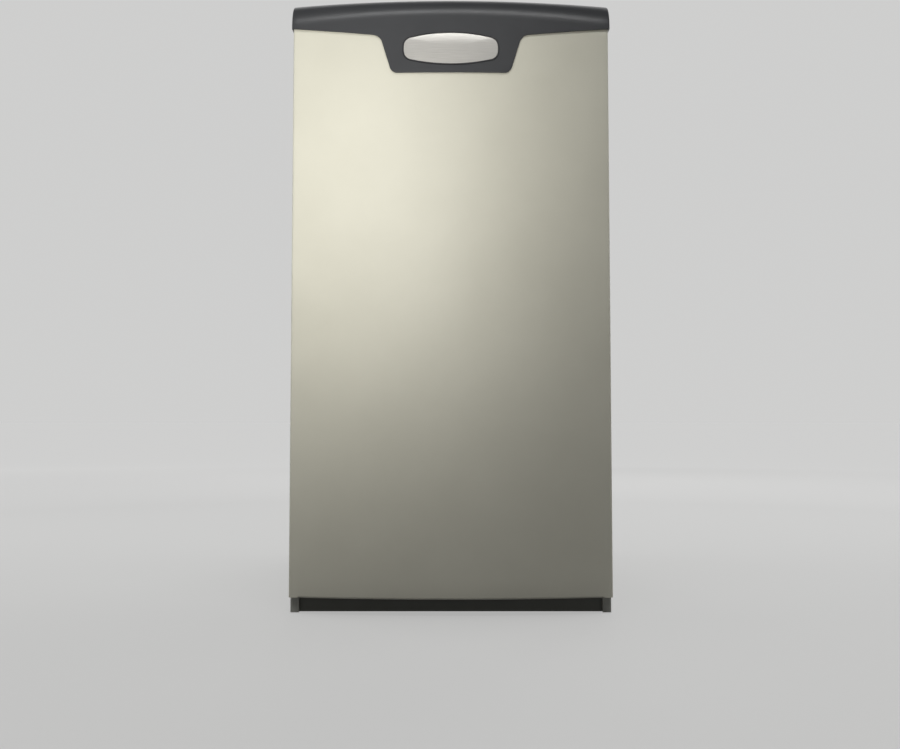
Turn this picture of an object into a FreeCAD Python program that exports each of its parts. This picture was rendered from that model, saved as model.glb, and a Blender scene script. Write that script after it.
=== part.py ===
import FreeCAD, Part
import math
import os
import Sketcher
from types import SimpleNamespace
from FreeCAD import Placement, Rotation, Vector

# Upflow gas furnace. X runs to the right, Y to the back and Z up, in millimetres. The origin is on
# the floor under the middle of the whole box.

# Driving sizes in millimetres, with plain shares and counts where the name says so.
SIZES = {
    # Cabinet
    "cabinet_width": 446.0, "cabinet_height": 838.0, "cabinet_depth": 690.0,
    "gauge": 1.2, "front_flange": 12.0, "flange_lip": 10.0, "bend_radius": 2.0,
    "fold": 15.0, "header_drop": 50.0, "vestibule_depth": 190.0, "deck_height": 395.0,
    "deck_rail": 40.0, "duct_flange": 19.0, "duct_ledge": 14.0, "base_height": 20.0,
    "base_flange": 30.0, "kick_height": 45.0, "liner": 6.0,
    # Clearances: free gap, sliding gap, glue line, cutter overrun and picking tolerance
    "free_gap": 0.3, "slip_gap": 0.2, "pivot_play": 0.05, "overrun": 6.0, "near": 0.01,
    # Door
    "door_depth": 20.0, "door_bow": 22.0, "door_ground_gap": 23.1, "door_sheet": 1.0,
    "door_lap": 6.0, "rail_height": 26.0, "rail_reach": 10.0, "low_rail_height": 150.0,
    "gasket": 3.0, "gasket_width": 9.0, "pad_inset": 2.0,
    # Cap and badge
    "cap_rise": 22.0, "cap_proud": 2.5, "cap_side": 2.3, "cap_wall": 2.5, "cap_back": 24.0,
    "cap_lift": 1.5, "cap_end_height": 41.7, "cap_shoulder_height": 55.9, "cap_tab_height": 109.7,
    "tab_upper_half": 99.6, "tab_lower_half": 83.0, "tab_inner_round": 15.0,
    "tab_outer_round": 11.0, "crown_end": 40.0, "crown_middle": 30.0,
    "badge_width": 131.8, "badge_height": 43.5, "badge_drop": 75.5, "badge_rise": 2.0,
    "badge_seat": 1.0, "badge_arc": 250.0, "badge_side_arc": 40.0, "badge_corner": 12.0,
    # Door pivots, hooks and catches
    "pivot_stand": 8.5, "pivot_rise": 9.0, "pivot_radius": 3.0, "pivot_plate": 1.5,
    "pivot_plate_width": 9.0, "pivot_plate_rise": 11.0, "pivot_ear": 6.0,
    "hook_sheet": 2.0, "hook_front": 7.5, "hook_back": 6.5, "hook_up": 14.0, "hook_down": 7.0,
    "hook_corner": 4.0, "sill_back": 2.0, "sill_notch": 14.0,
    "catch_spacing": 300.0, "catch_radius": 4.0, "catch_reach": 12.3, "catch_tip": 3.0,
    "socket_wall": 2.2, "socket_flange": 2.5, "socket_flange_depth": 1.5, "socket_depth": 13.0,
    # Screws
    "screw_shank": 2.0, "screw_washer": 5.5, "screw_washer_depth": 0.6, "screw_hex": 4.2,
    "screw_head": 1.9, "screw_end_share": 0.12,
    # Side entries and pipe collars
    "gas_hole": 22.0, "conduit_hole": 11.1, "drain_hole": 14.0, "plug_lap": 3.0,
    "pipe_radius": 30.15, "pipe_wall": 3.9, "pipe_side": 176.0,
    "collar_gap": 0.2, "collar_wall": 5.0, "collar_rise": 20.0, "collar_drop": 28.0,
    "collar_flange": 5.5, "collar_flange_depth": 4.0, "collar_stop": 3.0,
    # Blower compartment front
    "panel_lap": 7.0, "panel_top_gap": 10.0, "window_radius": 16.0, "window_side": 90.0,
    "window_drop": 60.0, "window_depth": 3.0, "window_lip": 3.0,
    "latch_side": 150.0, "latch_drop": 24.0, "latch_knob": 10.0, "latch_knob_depth": 4.0,
    "latch_wing": 7.0, "latch_wing_half": 2.5, "latch_shaft": 3.5, "latch_cam_half": 10.0,
    "latch_cam_width": 6.0, "latch_cam_depth": 2.0,
    # Door interlock
    "interlock_side": 60.0, "interlock_width": 30.0, "interlock_height": 22.0,
    "interlock_depth": 26.0, "interlock_drop": 4.0, "plunger_radius": 3.0,
    "plunger_length": 14.0, "plunger_travel": 4.0,
    # Blower
    "blower_stand": 400.0, "blower_height": 195.0, "scroll_radius": 142.0, "scroll_step": 14.0,
    "scroll_half": 125.0, "scroll_sheet": 1.0, "scroll_flange": 15.0, "inlet_radius": 112.0,
    "inlet_ring": 4.0, "outlet_inset": 12.0, "wheel_radius": 127.0, "wheel_gap": 17.0,
    "blade_depth": 25.0, "blade_sheet": 1.0, "blade_slant": 9.0, "blade_count": 34,
    "wheel_rim": 2.0, "wheel_web": 40.0, "hub_radius": 17.0, "hub_length": 30.0,
    "motor_radius": 68.0, "motor_out": 26.0, "motor_length": 138.0, "shaft_radius": 6.35,
    "shaft_entry": 20.0, "band_width": 14.0, "band_sheet": 2.0, "arm_width": 16.0,
    "arm_sheet": 2.5, "arm_lap": 10.0, "arm_count": 3,
    # Controls
    "tray_stand": 80.0, "tray_left": 190.0, "tray_right": 100.0, "tray_drop": 170.0,
    "board_stand": 9.0, "board_sheet": 1.6, "board_width": 165.0, "board_height": 120.0,
    "board_drop": 30.0, "board_inset": 6.0, "post_radius": 3.0, "relay_width": 24.0,
    "relay_height": 18.0, "relay_depth": 15.0, "relay_pitch": 36.0, "relay_count": 4,
    "button_box": 14.0, "button_depth": 9.0, "button_radius": 4.0, "button_out": 3.0,
    "button_length": 6.0, "button_travel": 2.0,
    "strip_length": 110.0, "strip_height": 10.0, "strip_depth": 11.0,
    "core_width": 62.0, "core_height": 52.0, "core_depth": 26.0, "coil_bulge": 13.0,
    "coil_share": 0.62, "core_drop": 40.0, "core_left": 10.0,
    # Burners and gas train
    "burner_first": -125.0, "burner_pitch": 62.0, "burner_count": 4, "burner_height": 700.0,
    "manifold_stand": 44.0, "manifold_radius": 10.7, "manifold_end": 22.0, "boss_radius": 7.5,
    "boss_reach": 13.0, "orifice_radius": 5.0, "orifice_length": 14.0, "orifice_entry": 6.0,
    "burner_wall": 1.2, "flare_radius": 16.0, "flare_length": 18.0,
    "throat_radius": 11.0, "throat_length": 50.0, "spread_length": 20.0, "head_radius": 20.0,
    "head_length": 22.0, "rack_side": 35.0, "rack_half": 28.0, "rack_set": 4.0,
    "tab_width": 14.0,
    "valve_gap": 16.0, "valve_width": 62.0, "valve_depth": 56.0, "valve_height": 72.0,
    "inlet_boss": 17.0, "inlet_boss_reach": 8.0, "gas_bore": 10.4, "gas_bore_depth": 20.0,
    "regulator_radius": 13.0, "regulator_rise": 16.0, "coil_radius": 14.0, "coil_rise": 26.0,
    "knob_radius": 15.0, "knob_depth": 8.0, "knob_bar": 4.0, "knob_bar_depth": 4.0,
    "igniter_half": 6.0, "igniter_base": 25.0, "probe_radius": 2.5, "probe_short": 6.0,
    "rollout_radius": 12.0, "rollout_depth": 9.0,
    # Junction box
    "box_width": 52.0, "box_stand": 25.0, "box_depth": 60.0, "box_low": 520.0,
    "box_height": 80.0, "box_lip": 3.0,
    # Heat exchanger
    "tube_radius": 20.0, "tube_wall": 1.5, "pass_pitch": 84.0, "turn_rear": 560.0,
    "turn_front": 270.0, "rear_box_stand": 610.0, "rear_box_depth": 50.0, "rear_box_top": 560.0,
    "coil_low": 420.0, "coil_high": 505.0, "coil_half": 195.0, "coil_fin_count": 16,
    "coil_fin": 2.0, "coil_tube": 7.0, "coil_tube_count": 8, "coil_open_inset": 20.0,
    "header_half": 190.0, "header_low": 410.0, "header_high": 512.0,
    "header_depth": 40.0, "header_wall": 3.0, "header_hole": 30.0,
    # Draft inducer and vent
    "inducer_side": 88.0, "inducer_height": 480.0, "inducer_radius": 80.0, "inducer_depth": 58.0,
    "inducer_wall": 2.5, "inducer_box_top": 545.0, "inducer_box_side": 210.0, "spigot_rise": 45.0,
    "rotor_radius": 60.0, "rotor_depth": 34.0, "rotor_set": 6.0, "rotor_shaft": 4.0,
    "rotor_blade": 2.0, "rotor_hub": 14.0, "rotor_count": 12, "rotor_plate": 2.0,
    "fan_radius": 36.0, "fan_depth": 8.0, "fan_gap": 3.0, "fan_blade_half": 5.0, "fan_count": 6,
    "inducer_motor_radius": 40.0, "inducer_motor_length": 44.0, "motor_post": 5.0,
    "motor_post_length": 10.0, "motor_post_ring": 32.0,
    "coupling_wall": 5.0, "coupling_half": 26.0, "clamp_sheet": 1.4, "clamp_half": 6.0,
    "clamp_inset": 12.0, "clamp_screw": 3.5, "clamp_screw_half": 11.0,
    # Pressure switch and condensate trap
    "switch_side": -105.0, "switch_height": 598.0, "switch_radius": 36.0, "switch_depth": 20.0,
    "switch_rim": 4.0, "switch_rim_depth": 3.0, "switch_bracket": 12.0, "port_radius": 3.0,
    "port_length": 12.0, "hose_wall": 1.6, "hose_lap": 7.0,
    "trap_left": 200.0, "trap_width": 60.0, "trap_depth": 54.0, "trap_height": 84.0,
    "trap_rib": 2.0, "trap_rib_count": 3, "drain_height": 25.0, "drain_radius": 12.0,
    "drain_bore": 8.0, "drain_bore_depth": 16.0, "drain_short": 2.0,
}


class Size:
    """A length that carries its number and the sheet formula that drives it."""

    def __init__(self, formula, number):
        self.formula = formula
        self.number = number

    def __add__(self, other):
        other = as_size(other)
        return Size(f"({self.formula} + {other.formula})", self.number + other.number)

    def __sub__(self, other):
        other = as_size(other)
        return Size(f"({self.formula} - {other.formula})", self.number - other.number)

    def __mul__(self, other):
        other = as_size(other)
        return Size(f"({self.formula} * {other.formula})", self.number * other.number)

    def __truediv__(self, other):
        other = as_size(other)
        return Size(f"({self.formula} / {other.formula})", self.number / other.number)

    def __radd__(self, other):
        return as_size(other) + self

    def __rsub__(self, other):
        return as_size(other) - self

    def __rmul__(self, other):
        return as_size(other) * self

    def __neg__(self):
        return Size(f"(0 - {self.formula})", -self.number)


def as_size(amount):
    """A plain count or share as a Size, and a Size as itself."""
    if isinstance(amount, Size):
        return amount
    return Size(repr(amount), float(amount))


document = FreeCAD.newDocument("Furnace")
sheet = document.addObject("Spreadsheet::Sheet", "Sizes")
for row, (alias, amount) in enumerate(SIZES.items(), start=1):
    sheet.set(f"A{row}", alias)
    sheet.set(f"B{row}", str(amount))
    sheet.setAlias(f"B{row}", alias)
document.recompute()
s = SimpleNamespace(**{alias: Size(f"Sizes.{alias}", float(sheet.get(alias))) for alias in SIZES})

# What stands inside was laid out for a cabinet of this width and height, and keeps its share of
# a wider or taller one.
DRAWN_WIDTH = 446.0
DRAWN_HEIGHT = 838.0
WIDTH_SHARED = (
    "catch_spacing", "pipe_side", "window_side", "latch_side", "interlock_side", "scroll_half",
    "tray_left", "tray_right", "board_width", "relay_pitch", "strip_length", "core_left",
    "burner_first", "burner_pitch", "flare_radius", "throat_radius", "head_radius", "rack_side",
    "valve_gap", "valve_width", "tube_radius", "coil_half", "header_half", "inducer_side",
    "inducer_box_side", "switch_side", "trap_left")
HEIGHT_SHARED = (
    "deck_height", "blower_height", "scroll_radius", "scroll_step", "inlet_radius", "wheel_radius",
    "motor_radius", "tray_drop", "board_height", "burner_height", "igniter_base", "pass_pitch",
    "rear_box_top", "coil_low", "coil_high", "header_low", "header_high", "header_hole",
    "inducer_height", "inducer_radius", "inducer_box_top", "spigot_rise", "rotor_radius",
    "switch_height", "switch_radius", "box_low", "box_height", "trap_height")
for aliases, share in ((WIDTH_SHARED, s.cabinet_width / DRAWN_WIDTH),
                       (HEIGHT_SHARED, s.cabinet_height / DRAWN_HEIGHT)):
    for alias in aliases:
        setattr(s, alias, getattr(s, alias) * share)

ALONG = {
    "x": Rotation(Vector(0, 1, 0), 90),
    "y": Rotation(Vector(1, 0, 0), -90),
    "z": Rotation(),
}
nodes = {}


def bind(thing, **sizes):
    """Tie properties of an object to the sheet."""
    for name, size in sizes.items():
        thing.setExpression(name, as_size(size).formula)
    return thing


def put(thing, x, y, z):
    """Tie the place of an object to the sheet."""
    for axis, size in zip("xyz", (x, y, z)):
        thing.setExpression(f"Placement.Base.{axis}", as_size(size).formula)
    return thing


def node(label, thing):
    """Name an object as one of the part's pieces."""
    thing.Label = label
    nodes[label] = thing
    return thing


def block(x0, x1, y0, y1, z0, z1):
    """A box between two corners."""
    box = document.addObject("Part::Box", "Block")
    bind(box, Length=as_size(x1) - x0, Width=as_size(y1) - y0, Height=as_size(z1) - z0)
    return put(box, x0, y0, z0)


def rod(axis, x, y, z, radius, length):
    """A cylinder that starts at a point and runs along an axis."""
    cylinder = document.addObject("Part::Cylinder", "Rod")
    cylinder.Placement = Placement(Vector(), ALONG[axis])
    bind(cylinder, Radius=radius, Height=length)
    return put(cylinder, x, y, z)


def cone(axis, x, y, z, start_radius, end_radius, length):
    """A cone frustum that starts at a point and runs along an axis."""
    frustum = document.addObject("Part::Cone", "Cone")
    frustum.Placement = Placement(Vector(), ALONG[axis])
    bind(frustum, Radius1=start_radius, Radius2=end_radius, Height=length)
    return put(frustum, x, y, z)


def fuse(*things):
    """One solid from touching or overlapping ones."""
    joined = document.addObject("Part::MultiFuse", "Fuse")
    joined.Shapes = list(things)
    joined.Refine = True
    return joined


def cut(base, *tools):
    """A solid with others taken away."""
    trimmed = document.addObject("Part::Cut", "Cut")
    trimmed.Base = base
    trimmed.Tool = tools[0] if len(tools) == 1 else fuse(*tools)
    return trimmed


def common(*things):
    """What several solids share."""
    shared = document.addObject("Part::MultiCommon", "Common")
    shared.Shapes = list(things)
    return shared


def group(*things):
    """Separate solids kept as one piece."""
    bundle = document.addObject("Part::Compound", "Group")
    bundle.Links = list(things)
    return bundle


def mirror(thing):
    """The left-hand twin of a right-hand solid."""
    twin = document.addObject("Part::Mirroring", "Mirror")
    twin.Source = thing
    twin.Normal = Vector(1, 0, 0)
    return twin


def pair(thing):
    """A right-hand solid with its left-hand twin."""
    return group(thing, mirror(thing))


def tube(axis, x, y, z, radius, bore, length):
    """A straight tube."""
    return cut(rod(axis, x, y, z, radius, length), rod(axis, x, y, z, bore, length))


def shell_box(x0, x1, y0, y1, z0, z1, wall):
    """A closed box with an even wall."""
    hollow = block(x0 + wall, x1 - wall, y0 + wall, y1 - wall, z0 + wall, z1 - wall)
    return cut(block(x0, x1, y0, y1, z0, z1), hollow)


def new_body():
    """A body with its origin planes and axes by role."""
    body = document.addObject("PartDesign::Body", "Body")
    roles = {feature.Role: feature for feature in body.Origin.OriginFeatures}
    return body, roles


def tie_point(sketch, geometry, end, u, v):
    """Hold one point of a sketch at a place from the sheet."""
    for kind, size in (("DistanceX", as_size(u)), ("DistanceY", as_size(v))):
        constraint = Sketcher.Constraint(kind, -1, 1, geometry, end, size.number)
        index = sketch.addConstraint(constraint)
        sketch.setExpression(f"Constraints[{index}]", size.formula)


def draw_outline(sketch, outline):
    """A closed outline of straight lines through the given points."""
    ends = [Vector(as_size(u).number, as_size(v).number, 0) for u, v in outline]
    count = len(ends)
    for index in range(count):
        sketch.addGeometry(Part.LineSegment(ends[index], ends[(index + 1) % count]))
    for index in range(count):
        sketch.addConstraint(Sketcher.Constraint("Coincident", index, 2, (index + 1) % count, 1))
    for index, (u, v) in enumerate(outline):
        tie_point(sketch, index, 1, u, v)


def body_sketch(body, roles, plane, offset):
    """A sketch on one of a body's origin planes, moved along the plane's normal."""
    sketch = body.newObject("Sketcher::SketchObject", "Sketch")
    sketch.AttachmentSupport = [(roles[plane], "")]
    sketch.MapMode = "FlatFace"
    sketch.setExpression("AttachmentOffset.Base.z", as_size(offset).formula)
    return sketch


def slab(plane, outline, offset, thickness):
    """A body padded from a flat outline."""
    body, roles = new_body()
    sketch = body_sketch(body, roles, plane, offset)
    draw_outline(sketch, outline)
    pad = body.newObject("PartDesign::Pad", "Pad")
    pad.Profile = sketch
    bind(pad, Length=thickness)
    return body


def spin(outline):
    """A body turned about its own Y axis from a half outline."""
    body, roles = new_body()
    sketch = body_sketch(body, roles, "XY_Plane", 0)
    draw_outline(sketch, outline)
    turn = body.newObject("PartDesign::Revolution", "Revolution")
    turn.Profile = sketch
    turn.ReferenceAxis = (sketch, ["V_Axis"])
    return body


def round_edges(body, radius, wanted):
    """Round the edges of a body that a test picks."""
    document.recompute()
    edges = [f"Edge{i}" for i, edge in enumerate(body.Shape.Edges, start=1) if wanted(edge)]
    tip = body.Tip
    fillet = body.newObject("PartDesign::Fillet", "Fillet")
    fillet.Base = (tip, edges)
    bind(fillet, Radius=radius)
    return body


def is_at(edge, x=None, y=None, z=None):
    """Whether an edge runs straight through the given places."""
    middle = edge.CenterOfMass
    pairs = ((x, middle.x), (y, middle.y), (z, middle.z))
    return all(size is None or abs(as_size(size).number - at) < s.near.number for size, at in pairs)


def copies(source, places):
    """Separate copies of one solid, at places given as placements."""
    document.recompute()
    bundle = document.addObject("Part::Feature", "Copies")
    solids = []
    for place in places:
        solid = source.Shape.copy()
        solid.Placement = place.multiply(solid.Placement)
        solids.append(solid)
    bundle.Shape = Part.makeCompound(solids)
    return bundle


def at(x, y, z, turn=None):
    """A placement from sizes."""
    point = Vector(as_size(x).number, as_size(y).number, as_size(z).number)
    return Placement(point, turn or Rotation())


# Main planes, worked out from the driving sizes
half = s.cabinet_width / 2
inner = half - s.gauge
lip_x = half - s.front_flange
front_reach = s.door_depth + s.door_bow + s.cap_proud + s.badge_rise
front = (front_reach - s.cabinet_depth) / 2
back = front + s.cabinet_depth
inner_back = back - s.gauge
lip_y = front + s.flange_lip
roof = s.cabinet_height - s.gauge
deck = s.deck_height
under_deck = deck - s.gauge
vest_back = front + s.vestibule_depth
vest_front = vest_back - s.gauge
cap_top = s.cabinet_height + s.cap_rise
door_top = cap_top - s.cap_end_height + s.door_lap
door_bottom = s.door_ground_gap
bow_radius = (half * half + s.door_bow * s.door_bow) / (2 * s.door_bow)
bow_centre = front - s.door_depth - s.door_bow + bow_radius
burner_xs = [s.burner_first + s.burner_pitch * i for i in range(SIZES["burner_count"])]
burner_last = burner_xs[-1]
burner_z = s.burner_height
manifold_y = front + s.manifold_stand
conduit_y = front + s.box_stand + s.box_depth / 2
conduit_z = s.box_low + s.box_height / 2
header_front = vest_front - s.header_depth
inducer_front = header_front - s.inducer_depth
pipe_y = header_front - s.inducer_depth / 2
trap_y = header_front - s.trap_depth
drain_y = trap_y + s.trap_depth / 2
drain_z = deck + s.drain_height

# Cabinet wrapper: sides and back folded from one sheet, with front flanges and return lips
right_edge = [
    (half, front), (lip_x, front), (lip_x, lip_y), (lip_x + s.gauge, lip_y),
    (lip_x + s.gauge, front + s.gauge), (inner, front + s.gauge), (inner, inner_back),
]
left_edge = [(-x, y) for x, y in reversed(right_edge)]
wrapper = slab("XY_Plane", right_edge + left_edge + [(-half, back), (half, back)], 0, roof)
round_edges(wrapper, s.bend_radius, lambda edge: any(
    is_at(edge, x=x, y=y) for x in (half, -half) for y in (front, back)))

screw_low = 1 - s.screw_end_share
screw_places = []
for share in (s.screw_end_share, screw_low):
    screw_places.append((front + s.flange_lip + s.fold
                         + (s.vestibule_depth - s.flange_lip - 3 * s.fold) * share, roof - s.fold / 2))
for share in (s.screw_end_share, as_size(1) / 2, screw_low):
    length = front + s.cabinet_depth * share
    screw_places.append((vest_front - s.fold / 2, deck + (roof - s.fold - deck) * share))
    screw_places.append((length, under_deck - s.fold / 2))
    screw_places.append((length, s.base_height / 2))
side_entries = [
    (manifold_y, burner_z, s.gas_hole),
    (conduit_y, conduit_z, s.conduit_hole),
    (drain_y, drain_z, s.drain_hole),
]
reach = half + s.overrun
side_holes = side_entries + [(y, z, s.screw_shank + s.slip_gap) for y, z in screw_places]
side_cutters = [rod("x", -reach, y, z, radius, 2 * reach) for y, z, radius in side_holes]
node("cabinet_wrapper", cut(wrapper, *side_cutters))

# Hexagon washer-head screws through the sides; each shank stops at the flange that it holds
hexagon = document.addObject("Part::Prism", "Hexagon")
hexagon.Polygon = 6
hexagon.Placement = Placement(Vector(), ALONG["x"])
bind(hexagon, Circumradius=s.screw_hex, Height=s.screw_head)
screw = fuse(
    hexagon, rod("x", 0, 0, 0, s.screw_washer, s.screw_washer_depth),
    rod("x", -s.gauge, 0, 0, s.screw_shank, s.gauge))
turned = Rotation(Vector(0, 0, 1), 180)
screw_spots = [at(half, y, z) for y, z in screw_places]
screw_spots += [at(-half, y, z, turned) for y, z in screw_places]
node("cabinet_screws", copies(screw, screw_spots))

# Push-in plugs in the right-hand entries, which this hand of installation leaves unused
plugs = []
for y, z, radius in side_entries:
    flange = rod("x", half, y, z, radius + s.plug_lap, s.gauge)
    plugs.append(fuse(flange, rod("x", inner, y, z, radius - s.slip_gap, s.gauge)))
node("hole_plugs", group(*plugs))

# Top panel over the vestibule, with the front header and side folds
collar_radius = s.pipe_radius + s.collar_gap + s.collar_wall
catch_z = roof - s.header_drop / 2
socket_radius = s.catch_radius + s.free_gap + s.socket_wall
top_fold = block(inner - s.gauge, inner, lip_y + s.free_gap, vest_front, roof - s.fold, roof)
top_plate = fuse(
    block(-half, half, front, vest_back, roof, s.cabinet_height),
    block(-lip_x, lip_x, front, front + s.gauge, roof - s.header_drop, roof),
    top_fold, mirror(top_fold))
top_cutters = []
for side in (1, -1):
    top_cutters.append(rod("z", side * s.pipe_side, pipe_y, roof - s.overrun,
                           collar_radius + s.slip_gap, 2 * s.overrun))
    top_cutters.append(rod("y", side * s.catch_spacing / 2, front - s.overrun, catch_z,
                           socket_radius + s.slip_gap, 2 * s.overrun))
node("top_panel", cut(top_plate, *top_cutters))

# Duct flange round the supply air outlet
duct_x = half - s.duct_ledge
duct_front = vest_back + s.duct_ledge
duct_back = back - s.duct_ledge
ledge = block(-half, half, vest_back, back, roof, s.cabinet_height)
upstand = block(-duct_x - s.gauge, duct_x + s.gauge, duct_front - s.gauge, duct_back + s.gauge,
                roof, s.cabinet_height + s.duct_flange)
duct_hole = block(-duct_x, duct_x, duct_front, duct_back, roof - s.overrun,
                  s.cabinet_height + s.duct_flange + s.overrun)
node("supply_flange", cut(fuse(ledge, upstand), duct_hole))

# Wall between vestibule and heat section, with burner ports and the coil opening
tube_bore = s.tube_radius - s.tube_wall
vest_fold = block(inner - s.gauge, inner, vest_front - s.fold, vest_front, deck,
                  roof - s.fold - s.free_gap)
vest_plate = fuse(block(-inner, inner, vest_front, vest_back, deck, roof), vest_fold, mirror(vest_fold))
vest_cutters = [rod("y", x, vest_front - s.overrun, burner_z, tube_bore, 2 * s.overrun)
                for x in burner_xs]
coil_open_x = s.header_half - s.coil_open_inset
vest_cutters.append(block(-coil_open_x, coil_open_x, vest_front - s.overrun, vest_back + s.overrun,
                          s.coil_low + s.coil_open_inset, s.coil_high - s.coil_open_inset))
node("vest_panel", cut(vest_plate, *vest_cutters))

# Blower deck with its front rail
blower_y = front + s.blower_stand
blower_z = s.blower_height
scroll_back = blower_y + s.scroll_radius + 3 * s.scroll_step
latch_z = deck - s.latch_drop
interlock_z = under_deck - s.interlock_drop - s.interlock_height / 2
deck_fold = block(inner - s.gauge, inner, lip_y + s.free_gap, inner_back, under_deck - s.fold, deck)
deck_plate = fuse(
    block(-inner, inner, lip_y, inner_back, under_deck, deck),
    block(-lip_x, lip_x, front, lip_y, under_deck, deck),
    block(-lip_x, lip_x, front, front + s.gauge, deck - s.deck_rail, deck),
    deck_fold, mirror(deck_fold))
outlet_x = s.scroll_half - s.outlet_inset
slot_x = s.latch_cam_half + s.slip_gap + s.free_gap
slot_z = s.latch_cam_width / 2 + s.slip_gap + s.free_gap
deck_cutters = [
    block(-outlet_x, outlet_x, blower_y + s.outlet_inset, scroll_back - s.outlet_inset,
          under_deck - s.overrun, deck + s.overrun),
    rod("y", s.interlock_side, front - s.overrun, interlock_z, s.plunger_radius + s.free_gap,
        2 * s.overrun),
]
for side in (1, -1):
    latch_x = side * s.latch_side
    deck_cutters.append(block(latch_x - slot_x, latch_x + slot_x, front - s.overrun,
                              front + s.overrun, latch_z - slot_z, latch_z + slot_z))
node("blower_deck", cut(deck_plate, *deck_cutters))

# Base frame, bottom panel and kick plate
frame_stock = block(-inner, inner, lip_y, inner_back, 0, s.base_height)
frame_well = block(-inner + s.gauge, inner - s.gauge, lip_y + s.gauge, inner_back - s.gauge,
                   s.gauge, s.base_height + s.overrun)
frame_hole = block(-inner + s.base_flange, inner - s.base_flange, lip_y + s.base_flange,
                   inner_back - s.base_flange, -s.overrun, s.base_height)
node("base_frame", cut(frame_stock, frame_well, frame_hole))
bottom_x = inner - s.gauge - s.free_gap
node("bottom_panel", block(-bottom_x, bottom_x, lip_y + s.gauge + s.free_gap,
                           inner_back - s.gauge - s.free_gap, s.gauge, 2 * s.gauge))
node("kick_plate", block(-lip_x, lip_x, lip_y - s.gauge, lip_y, 0, s.kick_height))

# Foil-faced insulation on the walls of the heat section
liner_x = inner - s.liner
liner_stock = block(-inner, inner, vest_back, inner_back, deck, roof)
liner_well = block(-liner_x, liner_x, vest_back - s.overrun, inner_back - s.liner,
                   deck - s.overrun, roof + s.overrun)
node("cabinet_liner", cut(liner_stock, liner_well))

# Pipe collars on the top panel: a socket above and below a stop shoulder
socket_bore = s.pipe_radius + s.collar_gap
stop_top = s.cabinet_height
stop_low = stop_top - s.collar_stop
collars = []
for side in (1, -1):
    x = side * s.pipe_side
    stock = fuse(
        rod("z", x, pipe_y, s.cabinet_height - s.collar_drop, collar_radius,
            s.collar_drop + s.collar_rise),
        rod("z", x, pipe_y, s.cabinet_height, collar_radius + s.collar_flange, s.collar_flange_depth))
    collars.append(cut(
        stock, rod("z", x, pipe_y, stop_top, socket_bore, s.collar_rise + s.overrun),
        rod("z", x, pipe_y, stop_low - s.collar_drop, socket_bore, s.collar_drop),
        rod("z", x, pipe_y, stop_low - s.overrun, s.pipe_radius - s.pipe_wall,
            s.collar_stop + 2 * s.overrun)))
node("pipe_collars", group(*collars))

# Door pivots: an ear with a stud on each front flange
pivot_y = front - s.pivot_stand
pivot_z = door_bottom + s.pivot_rise
ear_x = lip_x + s.pivot_plate
stud_end = half - s.door_sheet - s.free_gap
pivot = fuse(
    block(lip_x, lip_x + s.pivot_plate_width, front - s.pivot_plate, front,
          pivot_z - s.pivot_ear, pivot_z + s.pivot_plate_rise),
    block(lip_x, ear_x, pivot_y - s.pivot_ear, front, pivot_z - s.pivot_ear, pivot_z + s.pivot_ear),
    rod("x", lip_x, pivot_y, pivot_z, s.pivot_radius, stud_end - lip_x))
node("door_pivots", pair(pivot))

# Nylon catch sockets in the header
catch_x = s.catch_spacing / 2
socket = cut(
    fuse(rod("y", catch_x, front - s.socket_flange_depth, catch_z, socket_radius + s.socket_flange,
             s.socket_flange_depth),
         rod("y", catch_x, front - s.socket_flange_depth, catch_z, socket_radius, s.socket_depth)),
    rod("y", catch_x, front - s.overrun, catch_z, s.catch_radius + s.free_gap,
        s.socket_depth + 2 * s.overrun))
node("catch_sockets", pair(socket))

# Foam gasket round the vestibule opening
gasket_x = lip_x + s.gasket_width
gasket_low = deck - s.gasket_width
gasket_high = roof - s.header_drop + s.gasket_width
node("vestibule_gasket", cut(
    block(-gasket_x, gasket_x, front - s.gasket, front, gasket_low, gasket_high),
    block(-lip_x, lip_x, front - s.gasket - s.overrun, front + s.overrun, deck,
          gasket_high - s.gasket_width)))

# Door panel: a bowed pan, open at the back, notched at its lower corners for the pivots
door_back = front - s.free_gap
door_inner = half - s.door_sheet


def bowed(radius, x, y_back, z0, z1):
    """A slab whose front is bowed about the door's centre line."""
    drum = rod("z", 0, bow_centre, z0, radius, z1 - z0)
    return common(drum, block(-x, x, bow_centre - radius - s.overrun, y_back, z0, z1))


door_stock = bowed(bow_radius, half, door_back, door_bottom, door_top)
door_well = bowed(bow_radius - s.door_sheet, door_inner, front + s.overrun,
                  door_bottom + s.door_sheet, door_top - s.door_sheet)
sill_cut = block(-door_inner, door_inner, pivot_y + s.sill_back, front,
                 door_bottom - s.overrun, door_bottom + s.overrun)
notch = block(half - s.sill_notch, door_inner, pivot_y - s.hook_front - s.overrun, front,
              door_bottom - s.overrun, door_bottom + s.overrun)
corner_run = s.pivot_stand - s.sill_back
corner_outline = [
    (pivot_y + s.sill_back, door_bottom - s.overrun),
    (pivot_y + s.sill_back, door_bottom),
    (front, pivot_z + s.hook_corner),
    (front + corner_run, door_bottom - s.overrun),
]
corner_cut = slab("YZ_Plane", corner_outline, -half - s.overrun, s.cabinet_width + 2 * s.overrun)
node("door_panel", cut(door_stock, door_well, sill_cut, notch, mirror(notch), corner_cut))

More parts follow.
